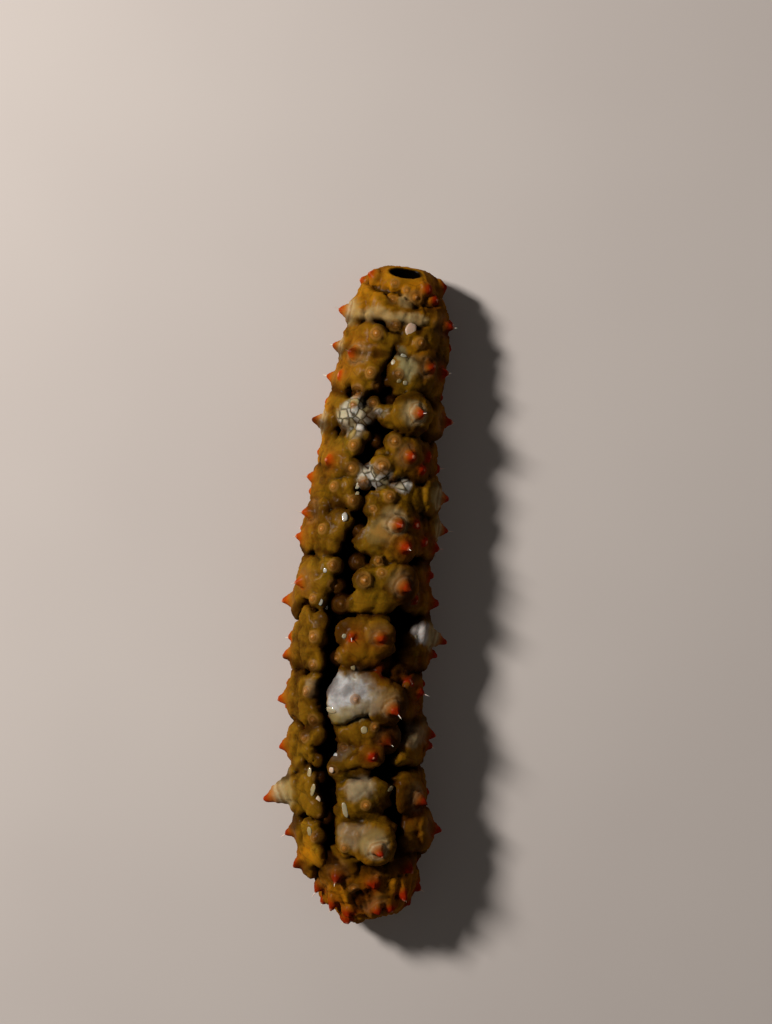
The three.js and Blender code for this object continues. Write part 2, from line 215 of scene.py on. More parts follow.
def listMounds():
    listed = []
    spots = list(mounds["bands"])
    last = len(spots) - 1
    for band, at in enumerate(spots):
        pitch = spots[min(band + 1, last)] - spots[max(band - 1, 0)]
        if 0 < band < last:
            pitch /= 2
        slack = mounds["slack"] + mounds["slackAhead"] * smooth((at - 25) / 40)
        for column, (turn, halfTurn) in enumerate(moundColumns(at)):
            size = mounds["bands"][at][column]
            listed.append(
                {
                    "at": at + 0.6 * vary(band, column, 2),
                    "turn": turn + 2 * vary(band, column, 1),
                    "halfLength": pitch * (0.49 - slack + 0.02 * vary(band, column, 3)),
                    "halfTurn": halfTurn,
                    "height": mounds["height"] * mix(0.4, 1, size),
                    "seed": 4 * band + column,
                }
            )
        # flesh that joins a flank mound to its neighbour on the back: all along the left side, and
        # on the right side only at the rear
        heights = [mound["height"] for mound in listed[-4:]]
        for side, pair in ((-1, heights[:2]), (1, heights[2:])):
            if side < 0 or at < mounds["rightJoinedTo"]:
                listed.append(
                    {
                        "at": at + 0.5 * vary(band, side, 4),
                        "turn": side * mounds["joinTurn"],
                        "halfLength": pitch * (0.47 - slack),
                        "halfTurn": mounds["joinHalfTurn"],
                        "height": mounds["joinHeight"] * sum(pair),
                        "seed": 200 + 4 * band + side,
                    }
                )
    for at, turn, halfLength, halfTurn, height in mounds["bridges"]:
        listed.append(
            {
                "at": at, "turn": turn, "halfLength": halfLength, "halfTurn": halfTurn, "height": height,
                "seed": 300 + int(at),
            }
        )
    return listed


moundList = listMounds()


# A wave that bends the outlines of all mounds alike, so that the creases stay thin. A way of -1 shifts
# the other way, from a bent place towards the place that it came from
def bendOutline(distance, turn, way=1):
    place = Vector((mounds["waveAlong"] * distance, mounds["waveRound"] * turn, mounds["waveSlice"]))
    wave = noise.noise_vector(place)
    return distance + way * mounds["bend"] * wave.x, turn + way * mounds["bendTurn"] * wave.y


# How far the mounds lift the skin off the smooth body
def liftAt(distance, turn):
    distance, turn = bendOutline(distance, turn, -1)
    lift = 0
    for mound in moundList:
        along = abs(distance - mound["at"]) / mound["halfLength"]
        across = abs(turn - mound["turn"]) / mound["halfTurn"]
        power = mounds["squareness"]
        share = (along**power + across**power) ** (1 / power)
        if share < 1:
            lift = max(lift, mound["height"] * (1 - share**2) ** 0.3)
    return lift


# What grows on the back as the photograph shows it. Each papilla: mm from the rear end, degrees round
# the back, size, and how pale its base is
papillaSpots = [
    (9.5, -70, 1.15, 0.9), (15.8, -84, 0.95, 0.8), (21.3, -84, 0.85, 0.1), (29.3, -82, 1.3, 1),
    (21, -60, 0.45, 0), (39.3, -72, 0.8, 0), (45.3, -64, 1.05, 0.2), (49.6, -72, 0.8, 0),
    (57, -54, 0.85, 0.1), (60.6, -84, 1.05, 0.1), (70, -84, 0.9, 0), (77.4, -84, 0.95, 0),
    (85.5, -84, 0.95, 0), (93.3, -84, 2, 1), (100, -84, 1.05, 0.3), (105, -74, 0.95, 0),
    (109, -60, 0.95, 0.1), (111.6, -38, 0.95, 0), (113.6, -17, 0.85, 0), (17, -42, 0.95, 0.3),
    (36, -44, 0.85, 0), (17.4, 40, 0.85, 0.3), (26, 28, 1.15, 0.9), (33.5, 27, 0.8, 0.2),
    (45.3, 23, 1.2, 0.8), (49.2, 33, 0.9, 0), (56, 38, 1.15, 0.4), (65.5, 10, 0.65, 0),
    (65.5, 28, 0.7, 0.2), (71, 31, 0.9, 0), (77.8, 39, 1.15, 0.5), (84, 38, 0.8, 0.1), (86.8, 27, 0.5, 0),
    (103, 25, 1.15, 0.9), (107, -9, 1.1, 0.2), (114, 20, 0.9, 0.2), (4, 32, 0.5, 0), (5.6, 48, 0.5, 0),
    (10, 64, 1.05, 0.2), (18, 62, 0.8, 0), (26.4, 73, 1, 0.2), (33, 52, 0.5, 0), (35.4, 44, 0.5, 0),
    (40, 72, 1.15, 1), (45.6, 82, 1.05, 0.9), (49, 72, 0.7, 0), (45.2, 44, 0.45, 0), (48, 55, 0.45, 0),
    (54, 72, 0.7, 0), (59, 84, 1, 0), (58.4, 56, 0.5, 0.5), (65.6, 82, 1.45, 1), (68.6, 84, 0.9, 0),
    (75.5, 66, 0.7, 0), (73, 56, 0.55, 0), (83.6, 78, 1.05, 0.4), (86.4, 92, 0.8, 0), (95.6, 60, 1.1, 0.4),
    (102, 76, 1.05, 0.2), (107.4, 50, 1, 0.1),
]

# Each button: mm from the rear end, degrees round the back, size
buttonSpots = [
    (6.5, -10, 0.7), (5.5, 17, 1.1), (4.5, 4, 0.6), (3.5, -11, 0.7), (13, -20, 1), (11, -2, 0.9),
    (13.5, 27, 0.9), (20, -19, 0.9), (19.5, 7, 0.9), (23.5, -33, 1.1), (22, -11, 0.8), (26, -32, 0.6),
    (25, -12, 0.7), (24, 5, 0.7), (33, -23, 0.9), (37, -22, 1), (31.5, -4, 0.8), (31.3, 12, 1),
    (36, 4, 1.25), (40.5, -37, 0.8), (39, -9, 0.8), (38, 16, 0.6), (41, 14, 0.9), (42.5, -15, 0.9),
    (48, -40, 0.8), (43.5, 2, 0.6), (47.5, -5, 0.9), (54, -20, 0.9), (57.5, -15, 1), (60.5, -5, 1.2),
    (53, 1, 1), (52.4, 16, 0.7), (54.4, 20, 0.7), (56, 9, 1.2), (60, -36, 0.7), (66.5, -26, 0.9),
    (71.5, -25, 0.8), (70, 1, 0.9), (66, 5, 0.6), (72, 56, 0.7), (76, -30, 0.8), (81, -22, 0.9),
    (84, -36, 0.8), (77, 18, 0.8), (82, 30, 0.7), (85.6, 10, 0.7), (89.5, 0, 0.8), (91, -20, 0.7),
    (96, 22, 0.8), (98, -16, 0.8), (103, 6, 0.7), (101, -28, 0.8), (109, 24, 0.8), (110.5, 4, 0.8),
]

papilla = {
    "radius": 2.05,
    "height": 2.8,
    "root": 1.4,
    "taper": 0.88,  # below 1 bulges, above 1 hollows
    "lobe": 1.8,  # radius of the swelling that carries it, as a share of its own
    "lobeAtRear": 0.55,  # how much of that radius is left at the rear end
    "lobeHeight": 0.42,  # height of the swelling, as a share of the papilla's
    "lobeRoot": 1.8,
    "lobeLean": 0.3,
    "spare": 0.3,  # past a size of 1 and this, the swelling is held back
    "rings": 3,
    "ringHeight": 0.035,
    "ringsTo": 0.6,  # share of the height that the rings fill
    "fringePitch": 4.1,
    "fringeTurn": 107,
}
button = {
    "radius": 1.45,
    "lobe": 1.25,  # radius of the dome under it, as a share of its own
    "dome": 0.95,
    "domeAtRear": 0.15,  # how much of the dome's height is left at the rear end
    "fullFrom": 16,  # mm from the rear end where domes and swellings have their full size
    "sunk": 0.15,
    "root": 2,
    "height": 0.14,
    "pimple": 0.28,
    "grooves": (0.52, 0.86),  # the grooves round the pimple, as shares of the radius
    "grooveDepth": 0.07,
    "grooveWidth": 0.09,
}


# How far papillae lean towards the mouth: a little back at the rear, most at the front, less on the flanks
def forwardLean(distance, turn):
    return mix(-0.4, 1.8, smooth(distance / 95)) * mix(1, 0.5, smooth((abs(turn) - 50) / 25))


def listPapillae():
    listed = []

    def add(at, turn, size, pale, aside=None, rise=None):
        root, normal, ahead, around = bodyFrame(at, turn)
        if rise is None:
            rise = mounds["rootedAt"] * liftAt(at, turn)
        if aside is None:
            aside = 0.8 * size * math.copysign(min(abs(turn) / 25, 1), turn)
        height = papilla["height"] * size
        forward = forwardLean(at, turn) * size
        base = root + normal * rise
        tip = base + normal * height + around * aside + ahead * forward
        listed.append(
            {
                "at": at, "turn": turn, "size": size, "pale": pale, "base": base, "tip": tip,
                "normal": normal, "ahead": ahead, "around": around, "aside": aside, "forward": forward,
                "height": height, "radius": papilla["radius"] * mix(0.45, 1, size),
            }
        )

    for at, turn, size, pale in papillaSpots:
        add(at, turn, size, pale)
    # small ones low on the flanks, in two rows, that the view from above hides
    for side in (-1, 1):
        for row, (low, size) in enumerate(((papilla["fringeTurn"], 0.75), (papilla["fringeTurn"] - 12, 0.5))):
            at = 7.5 + 2 * row
            i = 0
            while at < 108:
                add(at + 0.7 * vary(i, side, 21 + row), side * (low + 3 * vary(i, side, 24 + row)),
                    size * (1 + 0.25 * vary(i, side, 27 + row)), 0, aside=0.2 * side)
                at += papilla["fringePitch"]
                i += 1
    # rings round the two ends
    rings = ((3.2, 9, 112, 0.5, 55), (108.8, 6, 112, 0.8, 0), (112, 8, 118, 0.85, 0), (115, 7, 125, 0.75, 0))
    for ring, (at, count, low, size, bare) in enumerate(rings):
        for i in range(count):
            turn = mix(-low, low, i / (count - 1)) + 4 * vary(i, ring, 31)
            spot = at + 0.6 * vary(i, ring, 32)
            crowded = any(abs(spot - p["at"]) <= 2.2 and abs(turn - p["turn"]) <= 18 for p in listed)
            if abs(turn) > bare and not crowded:
                add(spot, turn, size * (1 + 0.15 * vary(i, ring, 33)), 0, aside=0)
    return listed


papillaList = listPapillae()

# Lobes: the low swellings that cover a mound between its papillae and buttons
lobe = {
    "radius": 1.9,
    "height": 0.4,
    "clear": 2,
    "spread": 0.5,
    "from": 12,  # none on a mound nearer the rear end
}


def listLobes():
    taken = [(p["at"], p["turn"]) for p in papillaList] + [(at, turn) for at, turn, size in buttonSpots]
    listed = []
    for mound in [m for m in moundList if m["at"] > lobe["from"]]:
        for k in range(6):
            along = lobe["spread"] * (k // 2 - 1) + 0.2 * vary(k, mound["seed"], 51)
            across = 0.9 * (k % 2 - 0.5) + 0.2 * vary(k, mound["seed"], 52)
            at = mound["at"] + mound["halfLength"] * along
            turn = mound["turn"] + mound["halfTurn"] * across
            gaps = [math.hypot(at - spot, body["perDegree"] * (turn - other)) for spot, other in taken]
            if min(gaps) > lobe["clear"]:
                taken.append((at, turn))
                listed.append((at, turn, 0.85 + 0.35 * vary(k, mound["seed"], 53)))
    return listed


lobeList = listLobes()
print(
    len(moundList), "mounds,", len(papillaList), "papillae,", len(buttonSpots), "buttons,",
    len(lobeList), "lobes",
)


sphereMeshes = {}


# Add a sphere to a bmesh and give its vertices back. Each kind of sphere is made once and copied
def addSphere(bm, segments, rings):
    if (segments, rings) not in sphereMeshes:
        small = bmesh.new()
        bmesh.ops.create_uvsphere(small, u_segments=segments, v_segments=rings, radius=1)
        sphereMeshes[segments, rings] = bpy.data.meshes.new("sphere")
        small.to_mesh(sphereMeshes[segments, rings])
        small.free()
    before = len(bm.verts)
    bm.from_mesh(sphereMeshes[segments, rings])
    bm.verts.ensure_lookup_table()
    return bm.verts[before:]


# A papilla, or with a taper of 0 a dome: a sphere whose upper half is drawn out to "height" and leans
def addBulb(bm, place, radius, height, root, segments=14, rings=10, aside=0, forward=0, taper=0):
    base, normal, ahead, around = place
    for vert in addSphere(bm, segments, rings):
        x, y, z = vert.co
        flat = math.hypot(x, y) or 1
        wide = (1 - z) ** taper if taper and z > 0 else math.sqrt(max(1 - z * z, 0))
        bend = max(z, 0) ** 2
        vert.co = (
            base
            + around * (x / flat * wide * radius + aside * bend)
            + ahead * (y / flat * wide * radius + forward * bend)
            + normal * z * (height if z > 0 else root)
        )
        vert.co.z = max(vert.co.z, body["lowest"])


def addMound(bm, mound):
    power = mounds["squareness"]
    for vert in addSphere(bm, 40, 20):
        x, y, z = vert.co
        flat = math.hypot(x, y)
        corner = flat / (abs(x) ** power + abs(y) ** power) ** (1 / power) if flat > 0 else 1
        for size, share in ((1.6, 1), (3.7, 0.6), (7, 0.25)):
            ripple = noise.noise(Vector((size * x, size * y, 7.3 * mound["seed"])))
            corner *= 1 + share * mounds["wobble"] * ripple
        spot = mound["at"] + y * corner * mound["halfLength"]
        turn = mound["turn"] + x * corner * mound["halfTurn"]
        spot, turn = bendOutline(spot, turn)
        tall = mound["height"] * z ** mounds["steep"] if z > 0 else mounds["root"] * z
        vert.co = bodyPoint(spot, turn) + bodyNormal(spot, turn) * tall
        vert.co.z = max(vert.co.z, body["lowest"])


mouth = {"at": 110.6, "radius": 3.4, "roof": 4.2}
anus = {"halfWidth": 2.9, "flatness": 0.52, "depth": 4.4, "tilt": 40, "at": 1.05, "rim": 0.12}


# The way out of the anus, and for a point how far out it lies and its share of the way to the rim
def measureAnus(point):
    outward = -spineTangent(0)
    outward.z = math.tan(math.radians(anus["tilt"]))
    outward.normalize()
    side = outward.cross(up).normalized()
    away = point - bodyPoint(anus["at"], 0)
    share = math.hypot(away.dot(side), away.dot(side.cross(outward)) / anus["flatness"]) / anus["halfWidth"]
    return outward, away.dot(outward), share


# The smooth body, sunk between the mounds, with the anus and the mouth pushed in
def addBody(bm):
    mouthMiddle = spinePoint(mouth["at"])
    for vert in addSphere(bm, 96, 160):
        distance = (1 - vert.co.z) / 2 * body["length"]
        turn = math.degrees(math.atan2(vert.co.x, vert.co.y))
        onBack = smooth((115 - abs(turn)) / 20)
        clear = onBack * smooth((distance - 3) / 8) * smooth((body["length"] - distance) / 10)
        point = bodyPoint(distance, turn) - bodyNormal(distance, turn) * body["sunk"] * clear
        flat = (point.xy - mouthMiddle.xy).length
        if point.z < mouth["roof"] and flat < mouth["radius"]:
            point.z = mix(point.z, mouth["roof"], smooth(3 * (1 - flat / mouth["radius"])))
        if distance < 8:
            outward, deep, share = measureAnus(point)
            if abs(deep) < 2.5:
                inwards = anus["depth"] * smooth((1.02 - share) / 0.6)
                point -= outward * (inwards - anus["rim"] * math.exp(-(((share - 1.25) / 0.2) ** 2)))
        vert.co = point


def newObject(name, bm):
    mesh = bpy.data.meshes.new(name)
    bm.to_mesh(mesh)
    bm.free()
    made = bpy.data.objects.new(name, mesh)
    bpy.context.scene.collection.objects.link(made)
    return made


# Swap an object's mesh for the one its modifiers make
def applyModifiers(made):
    bpy.context.view_layer.update()
    ready = made.evaluated_get(bpy.context.evaluated_depsgraph_get())
    mesh = bpy.data.meshes.new_from_object(ready)
    old = made.data
    made.modifiers.clear()
    made.data = mesh
    bpy.data.meshes.remove(old)
    mesh.name = made.name
    return mesh


skin = {
    "voxel": 0.25,
    "smoothing": 3,
    "triangles": 195000,
    "grain": 0.12,  # height of the small unevenness
    "wrinkle": 0.2,
    "pleat": 0.22,  # depth of the lengthwise folds at the two ends
    "pleatAhead": 1.2,  # how much deeper they are at the front end, as a share
    "lowest": 0.2,
    "probeFrom": 9,  # lines from outside to the skin start this far off the smooth body
    "probeReach": 12,
}
hollow = {"at": 113, "turn": 9, "radius": 3, "depth": 0.9}  # a dimple on top of the front end
cobble = {"height": 0.18, "dome": 0.9, "bend": 0.7}


# A grid of places on the smooth body, to find where a point of the skin lies
def sampleBody():
    rows = []
    for i in range(int(body["length"] * 2)):
        distance = 0.25 + 0.5 * i
        for j in range(120):
            turn = 3 * j - 180
            point, normal, ahead, around = bodyFrame(distance, turn)
            rows.append((distance, turn, point, normal, ahead, around))
    return rows


bodySamples = sampleBody()
bodyTree = KDTree(len(bodySamples))
for i, sample in enumerate(bodySamples):
    bodyTree.insert(sample[2], i)
bodyTree.balance()
sampleDistance = np.array([s[0] for s in bodySamples])
sampleTurn = np.array([s[1] for s in bodySamples])
samplePoint, sampleNormal, sampleAhead, sampleAround = (
    np.array([s[k] for s in bodySamples]) for k in (2, 3, 4, 5)
)


def meshArrays(mesh):
    count = len(mesh.vertices)
    points = np.empty(count * 3)
    normals = np.empty(count * 3)
    mesh.vertices.foreach_get("co", points)
    mesh.vertex_normals.foreach_get("vector", normals)
    return points.reshape(-1, 3), normals.reshape(-1, 3)


# For each point: its distance from the rear, its turn, and its height over the smooth body
def placeOnBody(points):
    nearest = np.array([bodyTree.find(p)[1] for p in points])
    away = points - samplePoint[nearest]
    height = np.einsum("ij,ij->i", away, sampleNormal[nearest])
    distance = sampleDistance[nearest] + np.einsum("ij,ij->i", away, sampleAhead[nearest])
    turn = sampleTurn[nearest] + np.degrees(np.einsum("ij,ij->i", away, sampleAround[nearest]) / 8)
    return distance, turn, height


# Where a line from outside meets the skin at a place on the body
def onSurface(tree, distance, turn):
    root, normal = bodyFrame(distance, turn)[:2]
    hit, hitNormal = tree.ray_cast(root + normal * skin["probeFrom"], -normal, skin["probeReach"])[:2]
    return (root, normal) if hit is None else (hit, hitNormal)


# How far points lie outwards from a centre, and how far from the line through it
def measureFrom(points, centre, outward):
    away = points - np.array(centre)
    deep = away @ np.array(outward)
    return deep, np.linalg.norm(away - deep[:, None] * np.array(outward), axis=1)


def buildSkin():
    bm = bmesh.new()
    addBody(bm)
    for mound in moundList:
        addMound(bm, mound)
    for p in papillaList:
        place = (p["base"], p["normal"], p["ahead"], p["around"])
        # the swelling under it, kept small at the rear end and under the biggest ones
        big = max(1, p["size"] - papilla["spare"])
        full = mix(papilla["lobeAtRear"], 1, smooth(p["at"] / button["fullFrom"]))
        swelling = papilla["lobe"] * p["radius"] * full / big**0.5
        addBulb(
            bm, place, swelling, papilla["lobeHeight"] * p["height"] / big**1.5, papilla["lobeRoot"],
            aside=papilla["lobeLean"] * p["aside"],
        )
        addBulb(
            bm, place, p["radius"], p["height"], papilla["root"], aside=p["aside"], forward=p["forward"],
            taper=papilla["taper"],
        )
    domes = []
    for at, turn, size in buttonSpots:
        tall = button["dome"] * size * mix(button["domeAtRear"], 1, smooth(at / button["fullFrom"]))
        domes.append((at, turn, button["lobe"] * button["radius"] * size, tall))
    domes += [(at, turn, lobe["radius"] * size, lobe["height"] * size) for at, turn, size in lobeList]
    for at, turn, radius, height in domes:
        root, normal, ahead, around = bodyFrame(at, turn)
        base = root + normal * mounds["rootedAt"] * liftAt(at, turn)
        addBulb(bm, (base, normal, ahead, around), radius, height + button["sunk"], button["root"])
    made = newObject("skin", bm)
    remesh = made.modifiers.new("join", "REMESH")
    remesh.mode = "VOXEL"
    remesh.voxel_size = skin["voxel"]
    soften = made.modifiers.new("soften", "SMOOTH")
    soften.factor = 0.5
    soften.iterations = skin["smoothing"]
    applyModifiers(made)
    print("skin joined with", len(made.data.polygons), "faces")
    return made


# The middles of the cobbles that part the skin: one for each papilla, button and lobe
def findCobbles(tree):
    middles = [p["base"] + p["normal"] * 0.4 * p["height"] for p in papillaList]
    middles += [onSurface(tree, at, turn)[0] for at, turn, size in buttonSpots + lobeList]
    kept = KDTree(len(middles))
    for i, middle in enumerate(middles):
        kept.insert(middle, i)
    kept.balance()
    return kept, np.array(middles)


# For each point: how far it is from the edge of its cobble, and which cobble that is
def measureCobbles(points, cobbles):
    tree, middles = cobbles
    points = points + cobble["bend"] * np.array([noise.noise_vector(Vector(p) * 0.7) for p in points])
    pairs = np.array([[hit[1] for hit in tree.find_n(p, 2)] for p in points])
    one, two = middles[pairs[:, 0]], middles[pairs[:, 1]]
    apart = np.linalg.norm(two - one, axis=1)
    nearer = np.sum((points - two) ** 2, axis=1) - np.sum((points - one) ** 2, axis=1)
    return nearer / (2 * apart), pairs[:, 0]


# The fine forms: cobbles, the rings of buttons and papillae, wrinkles, grain, and the dimple in front
def sculptSkin(made):
    mesh = made.data
    points, normals = meshArrays(mesh)
    tree = BVHTree.FromPolygons([v.co for v in mesh.vertices], [p.vertices for p in mesh.polygons])
    cobbles = findCobbles(tree)
    distance, turn, height = placeOnBody(points)
    onBack = smoothArray(height, -0.4, 0.8) * smoothArray(-np.abs(turn), -125, -105)
    edge = measureCobbles(points, cobbles)[0]
    raised = onBack * cobble["height"] * smoothArray(edge, 0, cobble["dome"])
    centres = []
    for at, middle, size in buttonSpots:
        centre = onSurface(tree, at, middle)[0]
        normal = bodyNormal(at, middle)
        radius = button["radius"] * size
        deep, flat = measureFrom(points, centre, normal)
        flat /= radius
        near = (flat < 1.25) & (np.abs(deep) < 1.6 * radius)
        disc = button["height"] * size * smoothArray(-flat, -1.2, -0.7)
        grooves = sum(
            -button["grooveDepth"] * np.exp(-(((flat - ring) / button["grooveWidth"]) ** 2))
            for ring in button["grooves"]
        )
        pimple = button["pimple"] * size * smoothArray(-flat, -0.36, 0)
        raised[near] += (disc + grooves + pimple)[near]
        centres.append((centre, normal, radius))
    for p in papillaList:
        deep, wide = measureFrom(points, p["base"], (p["tip"] - p["base"]).normalized())
        share = deep / p["height"]
        near = (wide < 1.1 * p["radius"]) & (share > 0) & (share < 0.75)
        phase = 2 * math.pi * papilla["rings"] * share[near] / papilla["ringsTo"]
        raised[near] += papilla["ringHeight"] * p["size"] * np.cos(phase)
    grain = np.array([noise.fractal(Vector(p) * 0.8, 1, 2, 3) for p in points])
    across = np.array([noise.noise(Vector((1.5 * d, 0.07 * t, 0))) for d, t in zip(distance, turn)])
    along = np.array([noise.noise(Vector((0.22 * d, 0.17 * t, 9))) for d, t in zip(distance, turn)])
    front = smoothArray(distance, 104, 112)
    ends = smoothArray(-distance, -10, -4) + front
    flanks = smoothArray(np.abs(turn), 60, 95)
    wrinkled = np.clip(0.2 + 0.6 * ends + 0.7 * flanks, 0, 1)
    raised += skin["grain"] * grain + skin["wrinkle"] * across * wrinkled
    raised += skin["pleat"] * along * (ends + skin["pleatAhead"] * front)
    rimDistance = np.linalg.norm(points - np.array(bodyPoint(anus["at"], 0)), axis=1)
    points += normals * (raised * smoothArray(rimDistance, 2, 4.5))[:, None]
    centre, normal = bodyPoint(hollow["at"], hollow["turn"]), bodyNormal(hollow["at"], hollow["turn"])
    deep, flat = measureFrom(points, centre, normal)
    near = (flat < hollow["radius"]) & (np.abs(deep) < 4)
    inwards = hollow["depth"] * smoothArray(-flat, -hollow["radius"], -0.4 * hollow["radius"])
    points[near] -= np.outer(inwards[near], np.array(normal))
    points[:, 2] = np.maximum(points[:, 2], skin["lowest"])
    mesh.vertices.foreach_set("co", points.ravel())
    mesh.update()
    thin = made.modifiers.new("thin", "DECIMATE")
    thin.ratio = min(1, skin["triangles"] / (2 * len(mesh.polygons)))
    applyModifiers(made)
    print("skin thinned to", len(made.data.polygons), "faces")
    return centres, cobbles


# Tints: colour, mm from the rear end, degrees round the back, half length, half turn, strength
tints = [
    # The ochre and golden tints on the left flank, near -90 to -100 degrees, are partly its own colour and
    # partly painted light from the upper left; at the two ends they are the skin's own colour
    ("ochre", 3, 0, 8, 150, 1), ("ochre", 22, -98, 30, 40, 0.9), ("ochre", 80, -100, 50, 28, 0.7),
    ("ochre", 14, -45, 9, 32, 0.6), ("ochre", 113, -30, 12, 75, 1), ("ochre", 27, 70, 8, 24, 0.7),
    ("ochre", 92, -40, 5, 24, 0.4), ("ochre", 49, -75, 8, 24, 0.6),
    ("goldenAndLight", 4, 0, 6, 75, 0.9), ("goldenAndLight", 32, -92, 14, 22, 0.9), ("goldenAndLight", 8, -60, 3, 30, 0.6),
    ("goldenAndLight", 111, -45, 10, 62, 1), ("goldenAndLight", 115, 10, 3, 60, 0.8), ("goldenAndLight", 109, 4, 3, 24, 0.7),
    ("goldenAndLight", 113, 60, 7, 40, 1), ("goldenAndLight", 114, 30, 4, 24, 0.6), ("goldenAndLight", 68, 22, 3, 14, 0.5),
    ("goldenAndLight", 48, 66, 5, 18, 0.5), ("goldenAndLight", 15, 30, 3, 24, 0.4),
    # The umber patches are partly brown patches of the skin and partly painted shade where the skin lies in
    # shadow, as on the left side between 40 and 85 mm
    ("umberAndShade", 68, 22, 8, 30, 0.8), ("umberAndShade", 86, 20, 6, 30, 0.9), ("umberAndShade", 100, 20, 5, 44, 0.6),
    ("umberAndShade", 66, -46, 10, 34, 0.8), ("umberAndShade", 47, 60, 5, 20, 0.5), ("umberAndShade", 78, -48, 8, 28, 0.75),
    ("umberAndShade", 48, -36, 7, 24, 0.5), ("umberAndShade", 46, 10, 4, 20, 0.3), ("umberAndShade", 92, -6, 9, 36, 0.45),
    ("umberAndShade", 47, -82, 8, 30, 0.8), ("umberAndShade", 45, -20, 7, 30, 0.35),
    # The rust-red tints on the right flank and the right sides of the mounds are partly their own red-brown
    # and partly painted shade on the side away from the light; the one at 113 mm is partly painted shade in
    # the front dimple
    ("redBrownAndShade", 70, 92, 60, 36, 0.85), ("redBrownAndShade", 78, 62, 12, 28, 0.9), ("redBrownAndShade", 55, 60, 9, 26, 0.75),
    ("redBrownAndShade", 98, 62, 10, 30, 0.8), ("redBrownAndShade", 68, 42, 9, 18, 0.5), ("redBrownAndShade", 36, 80, 12, 24, 0.6),
    ("redBrownAndShade", 113, 9, 3, 22, 0.9), ("redBrownAndShade", 69, -5, 6, 24, 0.4),
    ("green", 34, -30, 6, 26, 0.8), ("green", 57, -30, 6, 26, 0.8), ("green", 22, 18, 5, 22, 0.6),
    ("green", 79, 4, 5, 26, 0.9), ("green", 48, 0, 4, 18, 0.6), ("green", 92, 14, 5, 24, 0.7),
    ("green", 9, -20, 3, 26, 0.6), ("green", 92, -44, 6, 22, 0.7), ("green", 57, 24, 5, 14, 0.6),
    ("cream", 9.7, -28, 1.5, 32, 0.7), ("cream", 9.4, 18, 1.4, 24, 0.8), ("cream", 6.5, 6, 1.3, 10, 0.6),
    ("pale", 27.4, -22, 2.6, 14, 0.9),
    ("celadon", 27, -36, 2.4, 12, 0.9),
    ("plates", 27.6, -27, 3.6, 24, 1), ("plates", 38, -2, 2.4, 17, 1), ("plates", 38.6, 27, 1.6, 10, 1),
    ("pale", 37.8, -2, 2, 14, 0.9), ("pale", 38.8, 27, 1.3, 8, 0.7), ("pale", 76, 13, 4.4, 22, 0.85),
    # The white tint at 64.8 mm on the right flank is partly the cone's own pale colour and partly painted
    # light on its upward face
    ("white", 75.4, 9, 3.4, 17, 1), ("white", 64.8, 70, 2.4, 12, 0.8),
    ("pale", 86.6, 5, 1.6, 9, 0.5), ("pale", 93, 20, 2.2, 11, 0.6), ("pale", 101, 14, 2.2, 14, 0.35),
    ("pale", 84, 60, 2.4, 14, 0.5), ("pale", 75.4, -24, 1.8, 12, 0.4),
    ("celadon", 18, 17, 2.6, 13, 0.9), ("celadon", 16, 8, 1.4, 8, 0.8), ("celadon", 80, 6, 1.6, 16, 0.6),
    ("celadon", 47, 12, 3, 12, 0.25),
    ("peach", 46.6, 18, 2.2, 12, 0.7), ("peach", 17, -40, 1.6, 10, 0.4), ("peach", 9.5, -62, 1.6, 14, 0.5),
]


# How far each point stands out of the skin around it, from -1 in a fold to 1 on a crest
def standOut(mesh, points, normals, rounds, reach):
    ends = np.empty(len(mesh.edges) * 2, dtype=int)
    mesh.edges.foreach_get("vertices", ends)
    one, two = ends[0::2], ends[1::2]
    share = 1 / np.bincount(ends, minlength=len(points))
    spread = points.copy()
    for _ in range(rounds):
        for axis in range(3):
            values = spread[:, axis]
            total = np.bincount(one, values[two], len(points)) + np.bincount(two, values[one], len(points))
            spread[:, axis] = total * share
    return np.clip(np.einsum("ij,ij->i", points - spread, normals) / reach, -1, 1)


